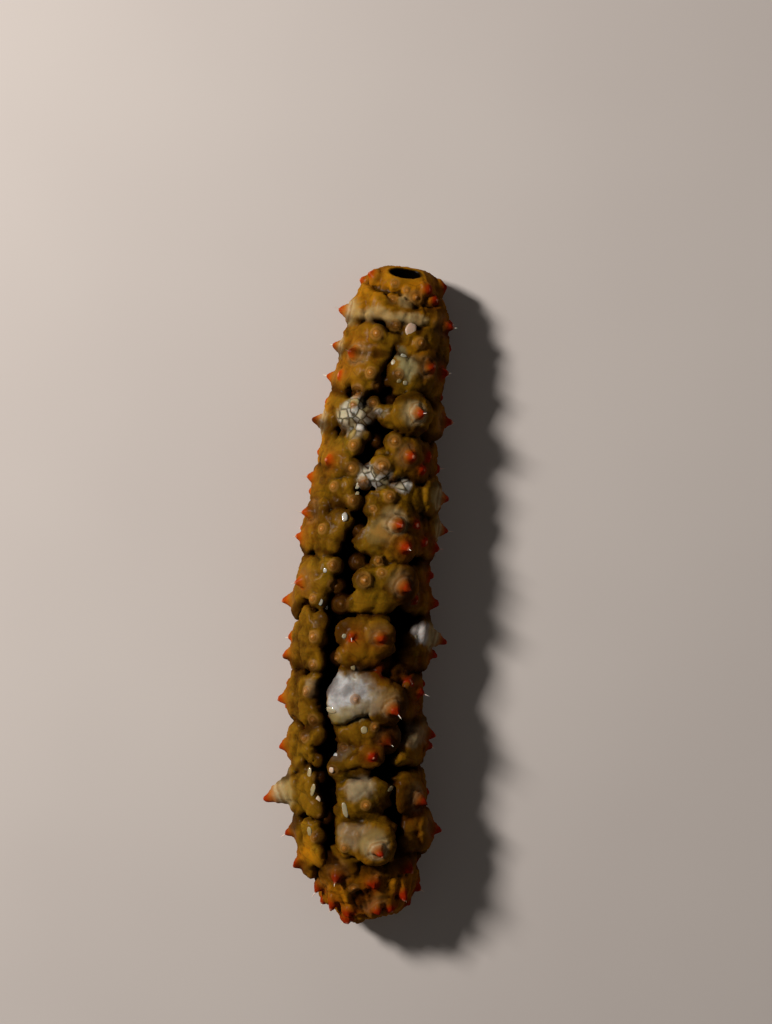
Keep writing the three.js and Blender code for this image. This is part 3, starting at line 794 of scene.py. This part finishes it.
def paintSkin(made, centres, cobbles):
    mesh = made.data
    points, normals = meshArrays(mesh)
    distance, turn, height = placeOnBody(points)
    count = len(points)
    blot = np.array([noise.fractal(Vector(p) * 0.45, 1, 2, 3) for p in points])
    fine = np.array([noise.noise(Vector(p) * 1.7) for p in points])

    cone = np.zeros(count)
    halo = np.zeros(count)
    glow = np.zeros(count)
    for p in papillaList:
        axis = p["tip"] - p["base"]
        deep, wide = measureFrom(points, p["base"], axis.normalized())
        share = deep / axis.length
        own = p["radius"] * np.clip(1 - share, 0, 1) ** papilla["taper"]
        inside = smoothArray(own - wide, -1, -0.3) * (share > -0.4)
        cone = np.maximum(cone, inside * np.clip(share + 0.05 * fine, 0, 1) ** (1 + 0.9 * p["pale"]))
        ringed = p["pale"] * smoothArray(own - wide, -1.3, -0.4) * smoothArray(share, -0.3, 0)
        halo = np.maximum(halo, ringed)
        away = np.linalg.norm(points - np.array(mix(p["base"], p["tip"], 0.55)), axis=1) / p["radius"]
        glow = np.maximum(glow, (1 - 0.7 * p["pale"]) * np.exp(-((away / 1.35) ** 2)))

    disc = np.zeros(count)
    for centre, normal, radius in centres:
        deep, flat = measureFrom(points, centre, normal)
        near = (flat < radius) & (np.abs(deep) < 1.6 * radius)
        disc[near] = np.maximum(disc[near], 1 - flat[near] / radius)

    # How far each point lies inside the anus opening, for the painted shade that fills it
    hole = np.zeros(count)
    for i in np.flatnonzero(distance < 8):
        deep, share = measureAnus(Vector(points[i]))[1:]
        hole[i] = smooth((1.15 - share) / 0.15) * smooth((0.3 - deep) / 0.9)
    cobbleNumber = measureCobbles(points, cobbles)[1]
    # How far each point stands out of the skin round it: the material uses it for painted highlights on
    # crests and painted shade in folds
    stand = standOut(mesh, points, normals, 24, 0.45)
    ends = np.maximum(smoothArray(-distance, -10, -5), smoothArray(distance, 104, 111))
    bared = np.maximum(ends, smoothArray(np.abs(turn), 84, 100))
    # How far inside its mound each point lies, so that painted shade can darken the skin towards the edges of
    # the mounds
    inland = np.zeros(count)
    flatDistance, flatTurn = np.array([bendOutline(d, t, -1) for d, t in zip(distance, turn)]).T
    for mound in moundList:
        along = np.abs(flatDistance - mound["at"]) / mound["halfLength"]
        across = np.abs(flatTurn - mound["turn"]) / mound["halfTurn"]
        rim = np.minimum(
            mound["halfLength"] * (1 - along), body["perDegree"] * mound["halfTurn"] * (1 - across)
        )
        inland = np.maximum(inland, smoothArray(rim + 0.5 * blot, -0.2, 1.6))
    masks = {
        # raised: how high the skin stands over the smooth body, full at the two ends and low on the flanks;
        # the material lays painted shade where it is low
        "raised": np.maximum(smoothArray(height + 0.25 * blot, 0, 2.3) ** 1.4, bared),
        "cone": cone,
        "halo": halo,
        "glow": glow,
        "inland": np.maximum(inland, 0.8 * bared),
        "disc": disc,
        # Redder towards the right side and the front: partly the papillae's own colour and partly painted
        # shade on the side away from the light
        "redAndShadedSide": np.clip(smoothArray(turn + 10 * blot, -30, 60) + 0.8 * smoothArray(distance, 70, 105), 0, 1),
        "cobble": 0.5 + 0.5 * np.sin(cobbleNumber * 12.9898 + 1.3 * fine),
        "sole": smoothArray(np.abs(turn), 112, 135),
        "hole": hole,
        "stand": 0.5 + 0.5 * stand,
    }
    for colour, at, middle, halfLength, halfTurn, strength in tints:
        share = np.hypot((distance - at) / halfLength, (turn - middle) / halfTurn) + 0.4 * blot + 0.1 * fine
        mask = strength * smoothArray(-share, -1.1, -0.65)
        masks[colour] = np.maximum(masks.get(colour, 0), mask)
    for name, values in masks.items():
        mesh.attributes.new(name, "FLOAT", "POINT").data.foreach_set("value", values)
    print("skin painted")


# Materials
def newMaterial(name, **finish):
    material = bpy.data.materials.new(name)
    material.use_nodes = True
    shader = material.node_tree.nodes["Principled BSDF"]
    for socket, value in finish.items():
        shader.inputs[socket.replace("_", " ")].default_value = value
    return material, material.node_tree, shader


def addNode(tree, kind, **settings):
    node = tree.nodes.new(kind)
    for name, value in settings.items():
        setattr(node, name, value)
    return node


def readMask(tree, name):
    return addNode(tree, "ShaderNodeAttribute", attribute_name=name).outputs["Fac"]


# One value times another socket's, or times a number
def multiply(tree, value, factor):
    node = addNode(tree, "ShaderNodeMath", operation="MULTIPLY")
    tree.links.new(value, node.inputs[0])
    if isinstance(factor, (int, float)):
        node.inputs[1].default_value = factor
    else:
        tree.links.new(factor, node.inputs[1])
    return node.outputs[0]


# Lay one colour over another where a mask says
def layOver(tree, under, over, mask, amount=1):
    node = addNode(tree, "ShaderNodeMix", data_type="RGBA")
    for socket, value in ((node.inputs[6], under), (node.inputs[7], over)):
        if isinstance(value, tuple):
            socket.default_value = (*value, 1)
        else:
            tree.links.new(value, socket)
    if amount != 1:
        mask = multiply(tree, mask, amount)
    tree.links.new(mask, node.inputs[0])
    return node.outputs[2]


def rampOf(tree, source, stops):
    node = addNode(tree, "ShaderNodeValToRGB")
    ramp = node.color_ramp
    while len(ramp.elements) < len(stops):
        ramp.elements.new(0.5)
    for element, (position, colour) in zip(ramp.elements, stops):
        element.position = position
        element.color = (*colour, 1)
    tree.links.new(source, node.inputs[0])
    return node.outputs[0]


# Cells of a size in millimetres: how far each point is from the edge of its cell, and a tone for each cell
def voronoiOf(tree, size):
    place = addNode(tree, "ShaderNodeTexCoord").outputs["Object"]
    bend = addNode(tree, "ShaderNodeTexNoise")
    bend.inputs["Scale"].default_value = 1000 / size
    wave = addNode(tree, "ShaderNodeMix", data_type="VECTOR")
    wave.inputs[0].default_value = 0.25 * size / 1000
    tree.links.new(place, wave.inputs[4])
    tree.links.new(place, bend.inputs["Vector"])
    tree.links.new(bend.outputs["Color"], wave.inputs[5])
    sockets = []
    for feature, output in (("DISTANCE_TO_EDGE", "Distance"), ("F1", "Color")):
        cells = addNode(tree, "ShaderNodeTexVoronoi", feature=feature)
        cells.inputs["Scale"].default_value = 1000 / size
        tree.links.new(wave.outputs[1], cells.inputs["Vector"])
        sockets.append(cells.outputs[output])
    return sockets


# Wet flesh: blotches, fine speckle, a bumpy surface and its roughness
def fleshGroup():
    group = bpy.data.node_groups.new("wet flesh", "ShaderNodeTree")
    for name, default in (("Blotch Size", 3.5), ("Bump Height", 0.05), ("Wetness", 0.6)):
        socket = group.interface.new_socket(name, in_out="INPUT", socket_type="NodeSocketFloat")
        socket.default_value = default
    outputs = (("Blotch", "Float"), ("Speckle", "Float"), ("Roughness", "Float"), ("Normal", "Vector"))
    for name, kind in outputs:
        group.interface.new_socket(name, in_out="OUTPUT", socket_type=f"NodeSocket{kind}")
    source = group.nodes.new("NodeGroupInput")
    sink = group.nodes.new("NodeGroupOutput")
    place = addNode(group, "ShaderNodeTexCoord").outputs["Object"]
    link = group.links.new

    def texture(size, detail):
        node = addNode(group, "ShaderNodeTexNoise")
        node.inputs["Scale"].default_value = 1000 / size
        node.inputs["Detail"].default_value = detail
        link(place, node.inputs["Vector"])
        return node

    perSize = addNode(group, "ShaderNodeMath", operation="DIVIDE")
    perSize.inputs[0].default_value = 1000
    link(source.outputs["Blotch Size"], perSize.inputs[1])
    blotch = texture(3.5, 4)
    link(perSize.outputs[0], blotch.inputs["Scale"])
    link(blotch.outputs["Fac"], sink.inputs["Blotch"])
    speckle = texture(0.5, 3)
    link(speckle.outputs["Fac"], sink.inputs["Speckle"])
    roughness = addNode(group, "ShaderNodeMapRange")
    link(speckle.outputs["Fac"], roughness.inputs["Value"])
    dry = addNode(group, "ShaderNodeMath", operation="SUBTRACT")
    dry.inputs[0].default_value = 1
    link(source.outputs["Wetness"], dry.inputs[1])
    link(dry.outputs[0], roughness.inputs["To Min"])
    roughness.inputs["To Max"].default_value = 0.6
    link(roughness.outputs["Result"], sink.inputs["Roughness"])
    bump = addNode(group, "ShaderNodeBump")
    bump.inputs["Strength"].default_value = 0.7
    link(multiply(group, source.outputs["Bump Height"], 0.001), bump.inputs["Distance"])
    both = addNode(group, "ShaderNodeMath", operation="ADD")
    link(speckle.outputs["Fac"], both.inputs[0])
    link(texture(0.22, 2).outputs["Fac"], both.inputs[1])
    link(both.outputs[0], bump.inputs["Height"])
    link(bump.outputs["Normal"], sink.inputs["Normal"])
    return group


fleshNodes = fleshGroup()


def useFlesh(tree, shader, **values):
    node = addNode(tree, "ShaderNodeGroup", node_tree=fleshNodes)
    for name, value in values.items():
        node.inputs[name.replace("_", " ")].default_value = value
    tree.links.new(node.outputs["Roughness"], shader.inputs["Roughness"])
    tree.links.new(node.outputs["Normal"], shader.inputs["Normal"])
    return node.outputs["Blotch"], node.outputs["Speckle"]


def skinMaterial():
    colours = {
        "olive": (0.095, 0.042, 0.0015),
        "darkOlive": (0.035, 0.015, 0.0007),
        "tan": (0.21, 0.1, 0.003),
        # ochre and golden: the skin's own warm colours, which on the left flank also carry painted light
        "ochre": (0.18, 0.06, 0.002),
        "goldenAndLight": (0.37, 0.135, 0.003),
        # crest: pale golden painted highlight for the crests of the skin
        "crest": (0.34, 0.16, 0.008),
        # umber: dark brown for random blotches of the skin and, in the tints, partly painted shade
        "umberAndShade": (0.05, 0.017, 0.001),
        # rust: dark red-brown, partly the skin's own colour and partly painted shade
        "redBrownAndShade": (0.1, 0.022, 0.001),
        "green": (0.085, 0.052, 0.003),
        "pale": (0.36, 0.29, 0.17),
        "cream": (0.44, 0.32, 0.14),
        "mauve": (0.2, 0.15, 0.1),
        "white": (0.52, 0.5, 0.48),
        "slate": (0.23, 0.21, 0.2),
        "celadon": (0.24, 0.2, 0.09),
        "peach": (0.34, 0.17, 0.035),
        # crease: near black, partly the skin's own dark colour deep in the creases and partly painted shade;
        # it is also laid into folds and the anus opening
        "crease": (0.0012, 0.0006, 0.0002),
        # shade: dark red-brown painted shade for the lower sides and edges of the mounds
        "shade": (0.022, 0.006, 0.0003),
        "line": (0.03, 0.016, 0.003),
        # seam: the dark lines between plates, and painted shade at the edge of each plate
        "seamAndEdgeShade": (0.035, 0.022, 0.005),
        "sole": (0.4, 0.24, 0.09),
    }
    material, tree, shader = newMaterial(
        "sea cucumber skin", Coat_Roughness=0.28, Specular_IOR_Level=0, Subsurface_Weight=0.15,
        Subsurface_Scale=0.001,
    )
    blotch, speckle = useFlesh(tree, shader, Blotch_Size=2.6, Bump_Height=0.055, Wetness=0.45)
    spots = rampOf(tree, blotch, [(0.36, (0, 0, 0)), (0.62, (1, 1, 1))])
    freckles = rampOf(tree, speckle, [(0.45, (0, 0, 0)), (0.66, (1, 1, 1))])
    colour = layOver(tree, colours["darkOlive"], colours["olive"], spots)
    own = rampOf(tree, readMask(tree, "cobble"), [(0.3, (0, 0, 0)), (0.9, (1, 1, 1))])
    colour = layOver(tree, colour, colours["tan"], own, 0.3)
    for name, amount in (("ochre", 1), ("goldenAndLight", 1), ("green", 0.7), ("umberAndShade", 0.85), ("redBrownAndShade", 1)):
        colour = layOver(tree, colour, colours[name], readMask(tree, name), amount)
    shades = rampOf(tree, blotch, [(0.3, (1, 1, 1)), (0.55, (0, 0, 0))])
    colour = layOver(tree, colour, colours["umberAndShade"], shades, 0.75)
    colour = layOver(tree, colour, colours["tan"], freckles, 0.2)
    # Painted highlight: the crests of the skin are lightened towards pale golden
    crestHighlights = rampOf(tree, readMask(tree, "stand"), [(0.5, (0, 0, 0)), (0.85, (1, 1, 1))])
    colour = layOver(tree, colour, colours["crest"], crestHighlights, 0.3)
    fieldEdge = voronoiOf(tree, 3.6)[0]
    fieldLines = rampOf(tree, fieldEdge, [(0.012, (1, 1, 1)), (0.04, (0, 0, 0))])
    colour = layOver(tree, colour, colours["line"], multiply(tree, fieldLines, spots), 0.35)
    mottled = layOver(tree, colours["pale"], colours["mauve"], spots)
    milky = layOver(tree, colours["white"], colours["slate"], spots)
    creamy = layOver(tree, colours["cream"], colours["peach"], spots, 0.4)
    layers = (
        ("celadon", colours["celadon"]), ("peach", colours["peach"]), ("cream", creamy), ("pale", mottled),
        ("white", milky),
    )
    for name, tint in layers:
        colour = layOver(tree, colour, tint, readMask(tree, name))
    plates = readMask(tree, "plates")
    plateEdge, plateTone = voronoiOf(tree, 1.45)
    plateTones = rampOf(tree, plateTone, [(0.2, (0.3, 0.22, 0.08)), (0.75, (0.6, 0.57, 0.51))])
    colour = layOver(tree, colour, plateTones, plates, 0.8)
    # Dark seams between the plates, fading inwards as painted shade so that each flat cell looks domed
    plateSeamsAndShade = rampOf(tree, plateEdge, [(0.04, (1, 1, 1)), (0.11, (0.5, 0.5, 0.5)), (0.22, (0, 0, 0))])
    colour = layOver(tree, colour, colours["seamAndEdgeShade"], multiply(tree, plateSeamsAndShade, plates), 0.9)
    # Button rings: the pale peach at the middle of each is partly its pale pimple and partly a painted
    # highlight
    rings = rampOf(
        tree,
        readMask(tree, "disc"),
        [
            (0, (0.1, 0.045, 0.006)), (0.1, (0.24, 0.115, 0.025)), (0.38, (0.23, 0.1, 0.02)),
            (0.46, (0.13, 0.05, 0.008)), (0.56, (0.26, 0.105, 0.02)), (0.8, (0.34, 0.12, 0.015)),
            (0.93, (0.62, 0.36, 0.18)),
        ],
    )
    onDisc = rampOf(tree, readMask(tree, "disc"), [(0.01, (0, 0, 0)), (0.22, (1, 1, 1))])
    colour = layOver(tree, colour, rings, onDisc, 0.7)
    banded = rampOf(
        tree,
        readMask(tree, "cone"),
        [
            (0, (0.26, 0.18, 0.06)), (0.08, (0.38, 0.29, 0.14)), (0.14, (0.28, 0.18, 0.07)),
            (0.22, (0.46, 0.36, 0.2)), (0.3, (0.4, 0.25, 0.11)), (0.45, (0.42, 0.17, 0.04)),
        ],
    )
    colour = layOver(tree, colour, banded, readMask(tree, "halo"), 0.85)
    # The blush round each papilla is redder towards the right side and front, partly as painted shade
    blush = layOver(tree, (0.26, 0.085, 0.006), (0.16, 0.03, 0.002), readMask(tree, "redAndShadedSide"))
    colour = layOver(tree, colour, blush, readMask(tree, "glow"), 0.75)
    # Orange and crimson tips: at the very top each turns pale pink, partly a pale tip and partly a painted
    # highlight
    orange = rampOf(
        tree,
        readMask(tree, "cone"),
        [
            (0.3, (0.3, 0.1, 0.006)), (0.6, (0.33, 0.055, 0.002)), (0.88, (0.3, 0.03, 0.001)),
            (1, (0.5, 0.2, 0.1)),
        ],
    )
    # crimson: the tips on the right side and at the front, partly their own red and partly painted shade
    crimson = rampOf(
        tree,
        readMask(tree, "cone"),
        [
            (0.3, (0.18, 0.035, 0.002)), (0.6, (0.22, 0.012, 0.001)), (0.88, (0.22, 0.007, 0.001)),
            (1, (0.5, 0.2, 0.12)),
        ],
    )
    onCone = rampOf(tree, readMask(tree, "cone"), [(0.2, (0, 0, 0)), (0.66, (1, 1, 1))])
    colour = layOver(tree, colour, layOver(tree, orange, crimson, readMask(tree, "redAndShadedSide")), onCone, 0.95)
    # Painted shade: the skin darkens towards the edge of each mound
    inner = rampOf(tree, readMask(tree, "inland"), [(0, (0.2, 0.2, 0.2)), (0.9, (1, 1, 1))])
    colour = layOver(tree, colours["shade"], colour, inner)
    # Painted shade: low skin between the mounds and the lower sides of each mound go through dark red-brown
    # to near black, partly the skin's own dark colour in the creases and partly painted shade
    raised = readMask(tree, "raised")
    shaded = rampOf(tree, raised, [(0.25, (0, 0, 0)), (0.95, (1, 1, 1))])
    risen = rampOf(tree, raised, [(0.05, (0, 0, 0)), (0.5, (1, 1, 1))])
    colour = layOver(tree, colours["shade"], colour, shaded)
    colour = layOver(tree, colours["crease"], colour, risen)
    # Painted shade: near black laid into the folds, where the skin lies lowest against its surroundings, and
    # into the anus opening
    folds = rampOf(tree, readMask(tree, "stand"), [(0.14, (1, 1, 1)), (0.46, (0, 0, 0))])
    for mask, amount in ((folds, 0.85), (readMask(tree, "hole"), 1)):
        colour = layOver(tree, colour, colours["crease"], mask, amount)
    colour = layOver(tree, colour, colours["sole"], readMask(tree, "sole"))
    tree.links.new(colour, shader.inputs["Base Color"])
    tree.links.new(multiply(tree, readMask(tree, "raised"), 0.04), shader.inputs["Coat Weight"])
    return material


def finishPiece(made, material):
    made.data.transform(metres)
    made.data.materials.append(material)
    for polygon in made.data.polygons:
        polygon.use_smooth = True
    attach(made, "root")


skinObject = buildSkin()
paintSkin(skinObject, *sculptSkin(skinObject))
finishPiece(skinObject, skinMaterial())
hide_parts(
    "anal_end", "trunk_1", "trunk_2", "trunk_3", "trunk_4", "trunk_5", "oral_end", "sole_rear",
    "sole_middle", "sole_front",
)


# Threads at the tips of some of the papillae, fine and pale
thread = {"radius": 0.09, "length": 0.7, "sunk": 0.6}


def buildThreads():
    bm = bmesh.new()
    for i, p in enumerate(papillaList):
        if p["size"] < 0.5 or vary(i, 4, 64) < 0:
            continue
        axis = (p["tip"] - p["base"]).normalized()
        side = axis.orthogonal().normalized()
        other = axis.cross(side)
        long = thread["length"] * (0.5 + 0.6 * p["size"]) * (1 + 0.5 * vary(i, 1, 61))
        lean = 0.35 * long * vary(i, 2, 62)
        drift = 0.35 * long * vary(i, 3, 63)
        start = p["tip"] - axis * thread["sunk"]
        for vert in addSphere(bm, 8, 8):
            x, y, z = vert.co
            share = (z + 1) / 2
            wide = thread["radius"] * math.sqrt(max(1 - z * z, 0)) * mix(1.25, 0.55, share)
            flat = math.hypot(x, y) or 1
            vert.co = (
                start
                + side * (x / flat * wide + lean * share**2)
                + other * (y / flat * wide + drift * share**2)
                + axis * (long + thread["sunk"]) * share
            )
            vert.co.z = max(vert.co.z, 0.1)
    return newObject("papilla_threads", bm)


# Pale nodules: smooth beads half sunk in the skin. Each: mm from the rear end, degrees round the back,
# length, width, and tone from grey (0) through cream and ochre to pink (1)
noduleSpots = [
    (11.4, 15, 2.6, 2.1, 1), (16, 11, 1.5, 1.2, 0.3), (17.5, 1, 1.1, 1, 0.5), (20.6, 9, 1, 0.8, 0.6),
    (20.8, 16, 0.9, 0.9, 0.5), (39.8, -14, 1.3, 0.8, 0.4), (41.2, -13, 1.1, 0.7, 0.5),
    (45.5, -20, 1.7, 1.1, 0.2), (55, -28, 0.9, 0.8, 0.1), (60.5, -27, 1.2, 0.9, 0.2),
    (61.4, -24, 0.9, 0.8, 0.2), (66, 5, 0.9, 0.8, 0.4), (71.5, 15, 1, 0.9, 0.6), (79, 1, 1.2, 2.2, 0.5),
    (82.5, 23, 1.4, 1.2, 0.6), (87, 3, 0.9, 0.9, 0), (89.5, -1, 1.1, 1, 1), (90.4, -33, 2.8, 0.9, 0.6),
    (93, -25, 2.6, 0.9, 0.6), (94.6, -21, 1.5, 1, 0.9), (96.5, 9, 2.9, 1, 0.5), (93.5, 40, 0.9, 1.6, 0.6),
    (100, -36, 1.7, 1, 0.6), (102, -6, 1, 1.9, 0.6), (82.5, 53, 1.4, 1.2, 0.5), (65.6, 62, 1, 0.8, 0.5),
]
nodule = {"squareness": 2.4, "flatness": 0.5, "height": 0.15, "sunk": 0.06}  # heights as shares of the width


def buildNodules(tree):
    bm = bmesh.new()
    tone = bm.verts.layers.float.new("tone")
    top = bm.verts.layers.float.new("top")
    for i, (at, turn, along, across, colour) in enumerate(noduleSpots):
        spot, facing = onSurface(tree, at, turn)
        normal, ahead = bodyFrame(at, turn)[1:3]
        facing = (facing + normal).normalized()
        ahead = (ahead - facing * ahead.dot(facing)).normalized()
        around = facing.cross(ahead)
        angle = math.radians(25 * vary(i, 7, 76))
        one = ahead * math.cos(angle) + around * math.sin(angle)
        two = facing.cross(one)
        for vert in addSphere(bm, 16, 8):
            x, y, z = vert.co
            flat = math.hypot(x, y)
            power = nodule["squareness"]
            corner = flat / (abs(x) ** power + abs(y) ** power) ** (1 / power) if flat > 0 else 1
            corner *= 1 + 0.22 * noise.noise(Vector((1.5 * x, 1.5 * y, 3 * i)))
            tall = math.copysign(abs(z) ** nodule["flatness"], z) * nodule["height"] - nodule["sunk"]
            vert.co = (
                spot
                + one * (y * along / 2 * corner)
                + two * (x * across / 2 * corner)
                + facing * across * tall
            )
            vert[tone] = colour
            vert[top] = z
    return newObject("pale_nodules", bm)


# Tube feet: three strips of them on the sole, each ending in a sucker, most of them on the floor
feet = {
    "strips": [-5, 0, 5],
    "lanes": [-1.35, -0.45, 0.45, 1.35],
    "pitch": 1.5,
    "from": 9,
    "to": 104.5,
    "radius": 0.36,
    "sucker": 0.5,
    "top": 2.2,
}


def buildFeet():
    bm = bmesh.new()
    for strip in feet["strips"]:
        for lane in feet["lanes"]:
            for i in range(int((feet["to"] - feet["from"]) / feet["pitch"])):
                key = strip * 10 + lane
                at = feet["from"] + feet["pitch"] * (i + 0.5 * vary(i, key, 81))
                narrow = mix(body["rearHalfWidth"] / body["midHalfWidth"], 1, girth(at))
                aside = strip + lane + 0.2 * vary(i, key, 82)
                middle = spinePoint(at) + up.cross(spineTangent(at)) * aside * narrow
                low = 0 if vary(i, key, 83) < 0.4 else 0.35 * (1 + vary(i, key, 84))
                for vert in addSphere(bm, 8, 8):
                    x, y, z = vert.co
                    flat = math.hypot(x, y) or 1
                    foot = smooth((-z - 0.55) / 0.3)
                    closing = min(1, 4 * (1 - abs(z)) + 0.2 * (z < 0))
                    wide = mix(feet["radius"], feet["sucker"], foot) * closing
                    if abs(z) > 0.999:
                        wide = 0
                    share = (z + 1) / 2
                    tall = mix(low, feet["top"], share**0.8)
                    vert.co = middle + Vector((x / flat * wide, y / flat * wide, tall))
    return newObject("tube_feet", bm)


# Tentacles: short stalks round the mouth, each with a shield of small knobs, drawn in under the front
tentacles = {
    "count": 18,
    "ring": 2.3,
    "stalk": 0.3,
    "stalkLow": 1.2,
    "shield": 0.75,
    "knobs": 9,
    "knob": 0.24,
    "low": 0.9,
}


def buildTentacles():
    bm = bmesh.new()
    middle = spinePoint(mouth["at"])
    for i in range(tentacles["count"]):
        angle = 2 * math.pi * (i + 0.15 * vary(i, 0, 91)) / tentacles["count"]
        ring = tentacles["ring"] * (1 if i % 2 else 0.72)
        foot = middle + Vector((math.cos(angle), math.sin(angle), 0)) * ring
        for vert in addSphere(bm, 8, 8):
            x, y, z = vert.co
            tall = mix(tentacles["stalkLow"], mouth["roof"], (z + 1) / 2)
            vert.co = foot + Vector((x * tentacles["stalk"], y * tentacles["stalk"], tall))
        for k in range(tentacles["knobs"]):
            turn = 2.4 * k
            reach = 0.62 * tentacles["shield"] * math.sqrt(k / tentacles["knobs"])
            tall = tentacles["low"] + 0.3 + 0.3 * reach
            spot = foot + Vector((reach * math.cos(turn), reach * math.sin(turn), tall))
            for vert in addSphere(bm, 8, 6):
                vert.co = spot + vert.co * tentacles["knob"]
    return newObject("mouth_tentacle_crown", bm)


# Flesh of two colours in blotches
def twoToneFlesh(name, under, over, softness, coat, **values):
    material, tree, shader = newMaterial(
        name, Subsurface_Weight=softness, Subsurface_Scale=0.001, Coat_Weight=coat
    )
    blotch = useFlesh(tree, shader, **values)[0]
    tree.links.new(layOver(tree, under, over, blotch), shader.inputs["Base Color"])
    return material


def threadMaterial():
    return twoToneFlesh(
        "pale thread", (0.75, 0.5, 0.38), (0.85, 0.72, 0.62), 0.3, 0.3,
        Blotch_Size=1, Bump_Height=0.01, Wetness=0.75,
    )


def noduleMaterial():
    material, tree, shader = newMaterial(
        "pale nodule", Subsurface_Weight=0.2, Subsurface_Scale=0.001, Coat_Weight=0.3
    )
    blotch = useFlesh(tree, shader, Blotch_Size=1.5, Bump_Height=0.02, Wetness=0.7)[0]
    tone = rampOf(
        tree, readMask(tree, "tone"),
        [(0, (0.3, 0.3, 0.3)), (0.4, (0.34, 0.3, 0.2)), (0.6, (0.28, 0.21, 0.09)), (1, (0.5, 0.34, 0.24))],
    )
    colour = layOver(tree, tone, (0.2, 0.15, 0.08), blotch, 0.3)
    # Each bead turns dark olive-brown towards its edge, where it meets the skin
    rim = rampOf(tree, readMask(tree, "top"), [(0.05, (1, 1, 1)), (0.5, (0, 0, 0))])
    tree.links.new(layOver(tree, colour, (0.09, 0.06, 0.02), rim, 0.8), shader.inputs["Base Color"])
    return material


def footMaterial():
    return twoToneFlesh(
        "tube foot", (0.5, 0.27, 0.09), (0.66, 0.45, 0.24), 0.2, 0.2,
        Blotch_Size=2, Bump_Height=0.02, Wetness=0.55,
    )


def tentacleMaterial():
    return twoToneFlesh(
        "tentacle", (0.3, 0.12, 0.02), (0.5, 0.3, 0.1), 0.15, 0.3,
        Blotch_Size=1, Bump_Height=0.02, Wetness=0.6,
    )


skinTree = BVHTree.FromPolygons(
    [v.co * 1000 for v in skinObject.data.vertices], [p.vertices for p in skinObject.data.polygons]
)
finishPiece(buildThreads(), threadMaterial())
finishPiece(buildNodules(skinTree), noduleMaterial())
finishPiece(buildFeet(), footMaterial())
crown = buildTentacles()
finishPiece(crown, tentacleMaterial())
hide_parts("mouth_tentacles")
print("threads, nodules, feet and tentacles built")


# The room: a plain pale floor, light from the upper left with a weak fill, and a camera straight above
def buildFloor():
    bm = bmesh.new()
    bmesh.ops.create_grid(bm, x_segments=1, y_segments=1, size=2000)
    made = newObject("floor", bm)
    made.data.transform(metres)
    material, tree, shader = newMaterial("pale floor", Roughness=0.8, Base_Color=(0.55, 0.49, 0.45, 1))
    grain = addNode(tree, "ShaderNodeTexNoise")
    grain.inputs["Scale"].default_value = 60
    mottled = layOver(tree, (0.51, 0.45, 0.42), (0.59, 0.53, 0.49), grain.outputs["Fac"])
    tree.links.new(mottled, shader.inputs["Base Color"])
    made.data.materials.append(material)


def addLight(name, place, size, watts, colour, aim):
    light = bpy.data.lights.new(name, "AREA")
    light.size = size
    light.energy = watts
    light.color = colour
    made = bpy.data.objects.new(name, light)
    made.location = place
    made.rotation_euler = (Vector(aim) - Vector(place)).to_track_quat("-Z", "Y").to_euler()
    bpy.context.scene.collection.objects.link(made)


view = {
    "centre": (4.89, 14.89, 8),
    "width": 138.96,
    "above": 450,
    "picture": (772, 1024),
    # each light: name, place in metres, size in metres, watts, colour
    "lights": [
        ("key", (-0.42, 0.24, 0.37), 0.1, 4.8, (1, 0.97, 0.93)),
        ("fill", (0.45, -0.1, 0.6), 0.6, 0.24, (1, 0.96, 0.9)),
    ],
    "room": (1, 0.97, 0.93, 1),
    "roomStrength": 0.05,
}


def buildView():
    centre = Vector(view["centre"]) * 0.001
    camera = bpy.data.cameras.new("camera")
    across, down = view["picture"]
    height = view["width"] * down / across
    camera.lens = camera.sensor_width * view["above"] / height
    made = bpy.data.objects.new("camera", camera)
    made.location = centre + Vector((0, 0, view["above"] * 0.001))
    bpy.context.scene.collection.objects.link(made)
    bpy.context.scene.camera = made
    for light in view["lights"]:
        addLight(*light, centre)
    world = bpy.data.worlds.new("room")
    world.use_nodes = True
    background = world.node_tree.nodes["Background"]
    background.inputs[0].default_value = view["room"]
    background.inputs[1].default_value = view["roomStrength"]
    bpy.context.scene.world = world
    bpy.context.scene.view_settings.view_transform = "Standard"


buildFloor()
buildView()
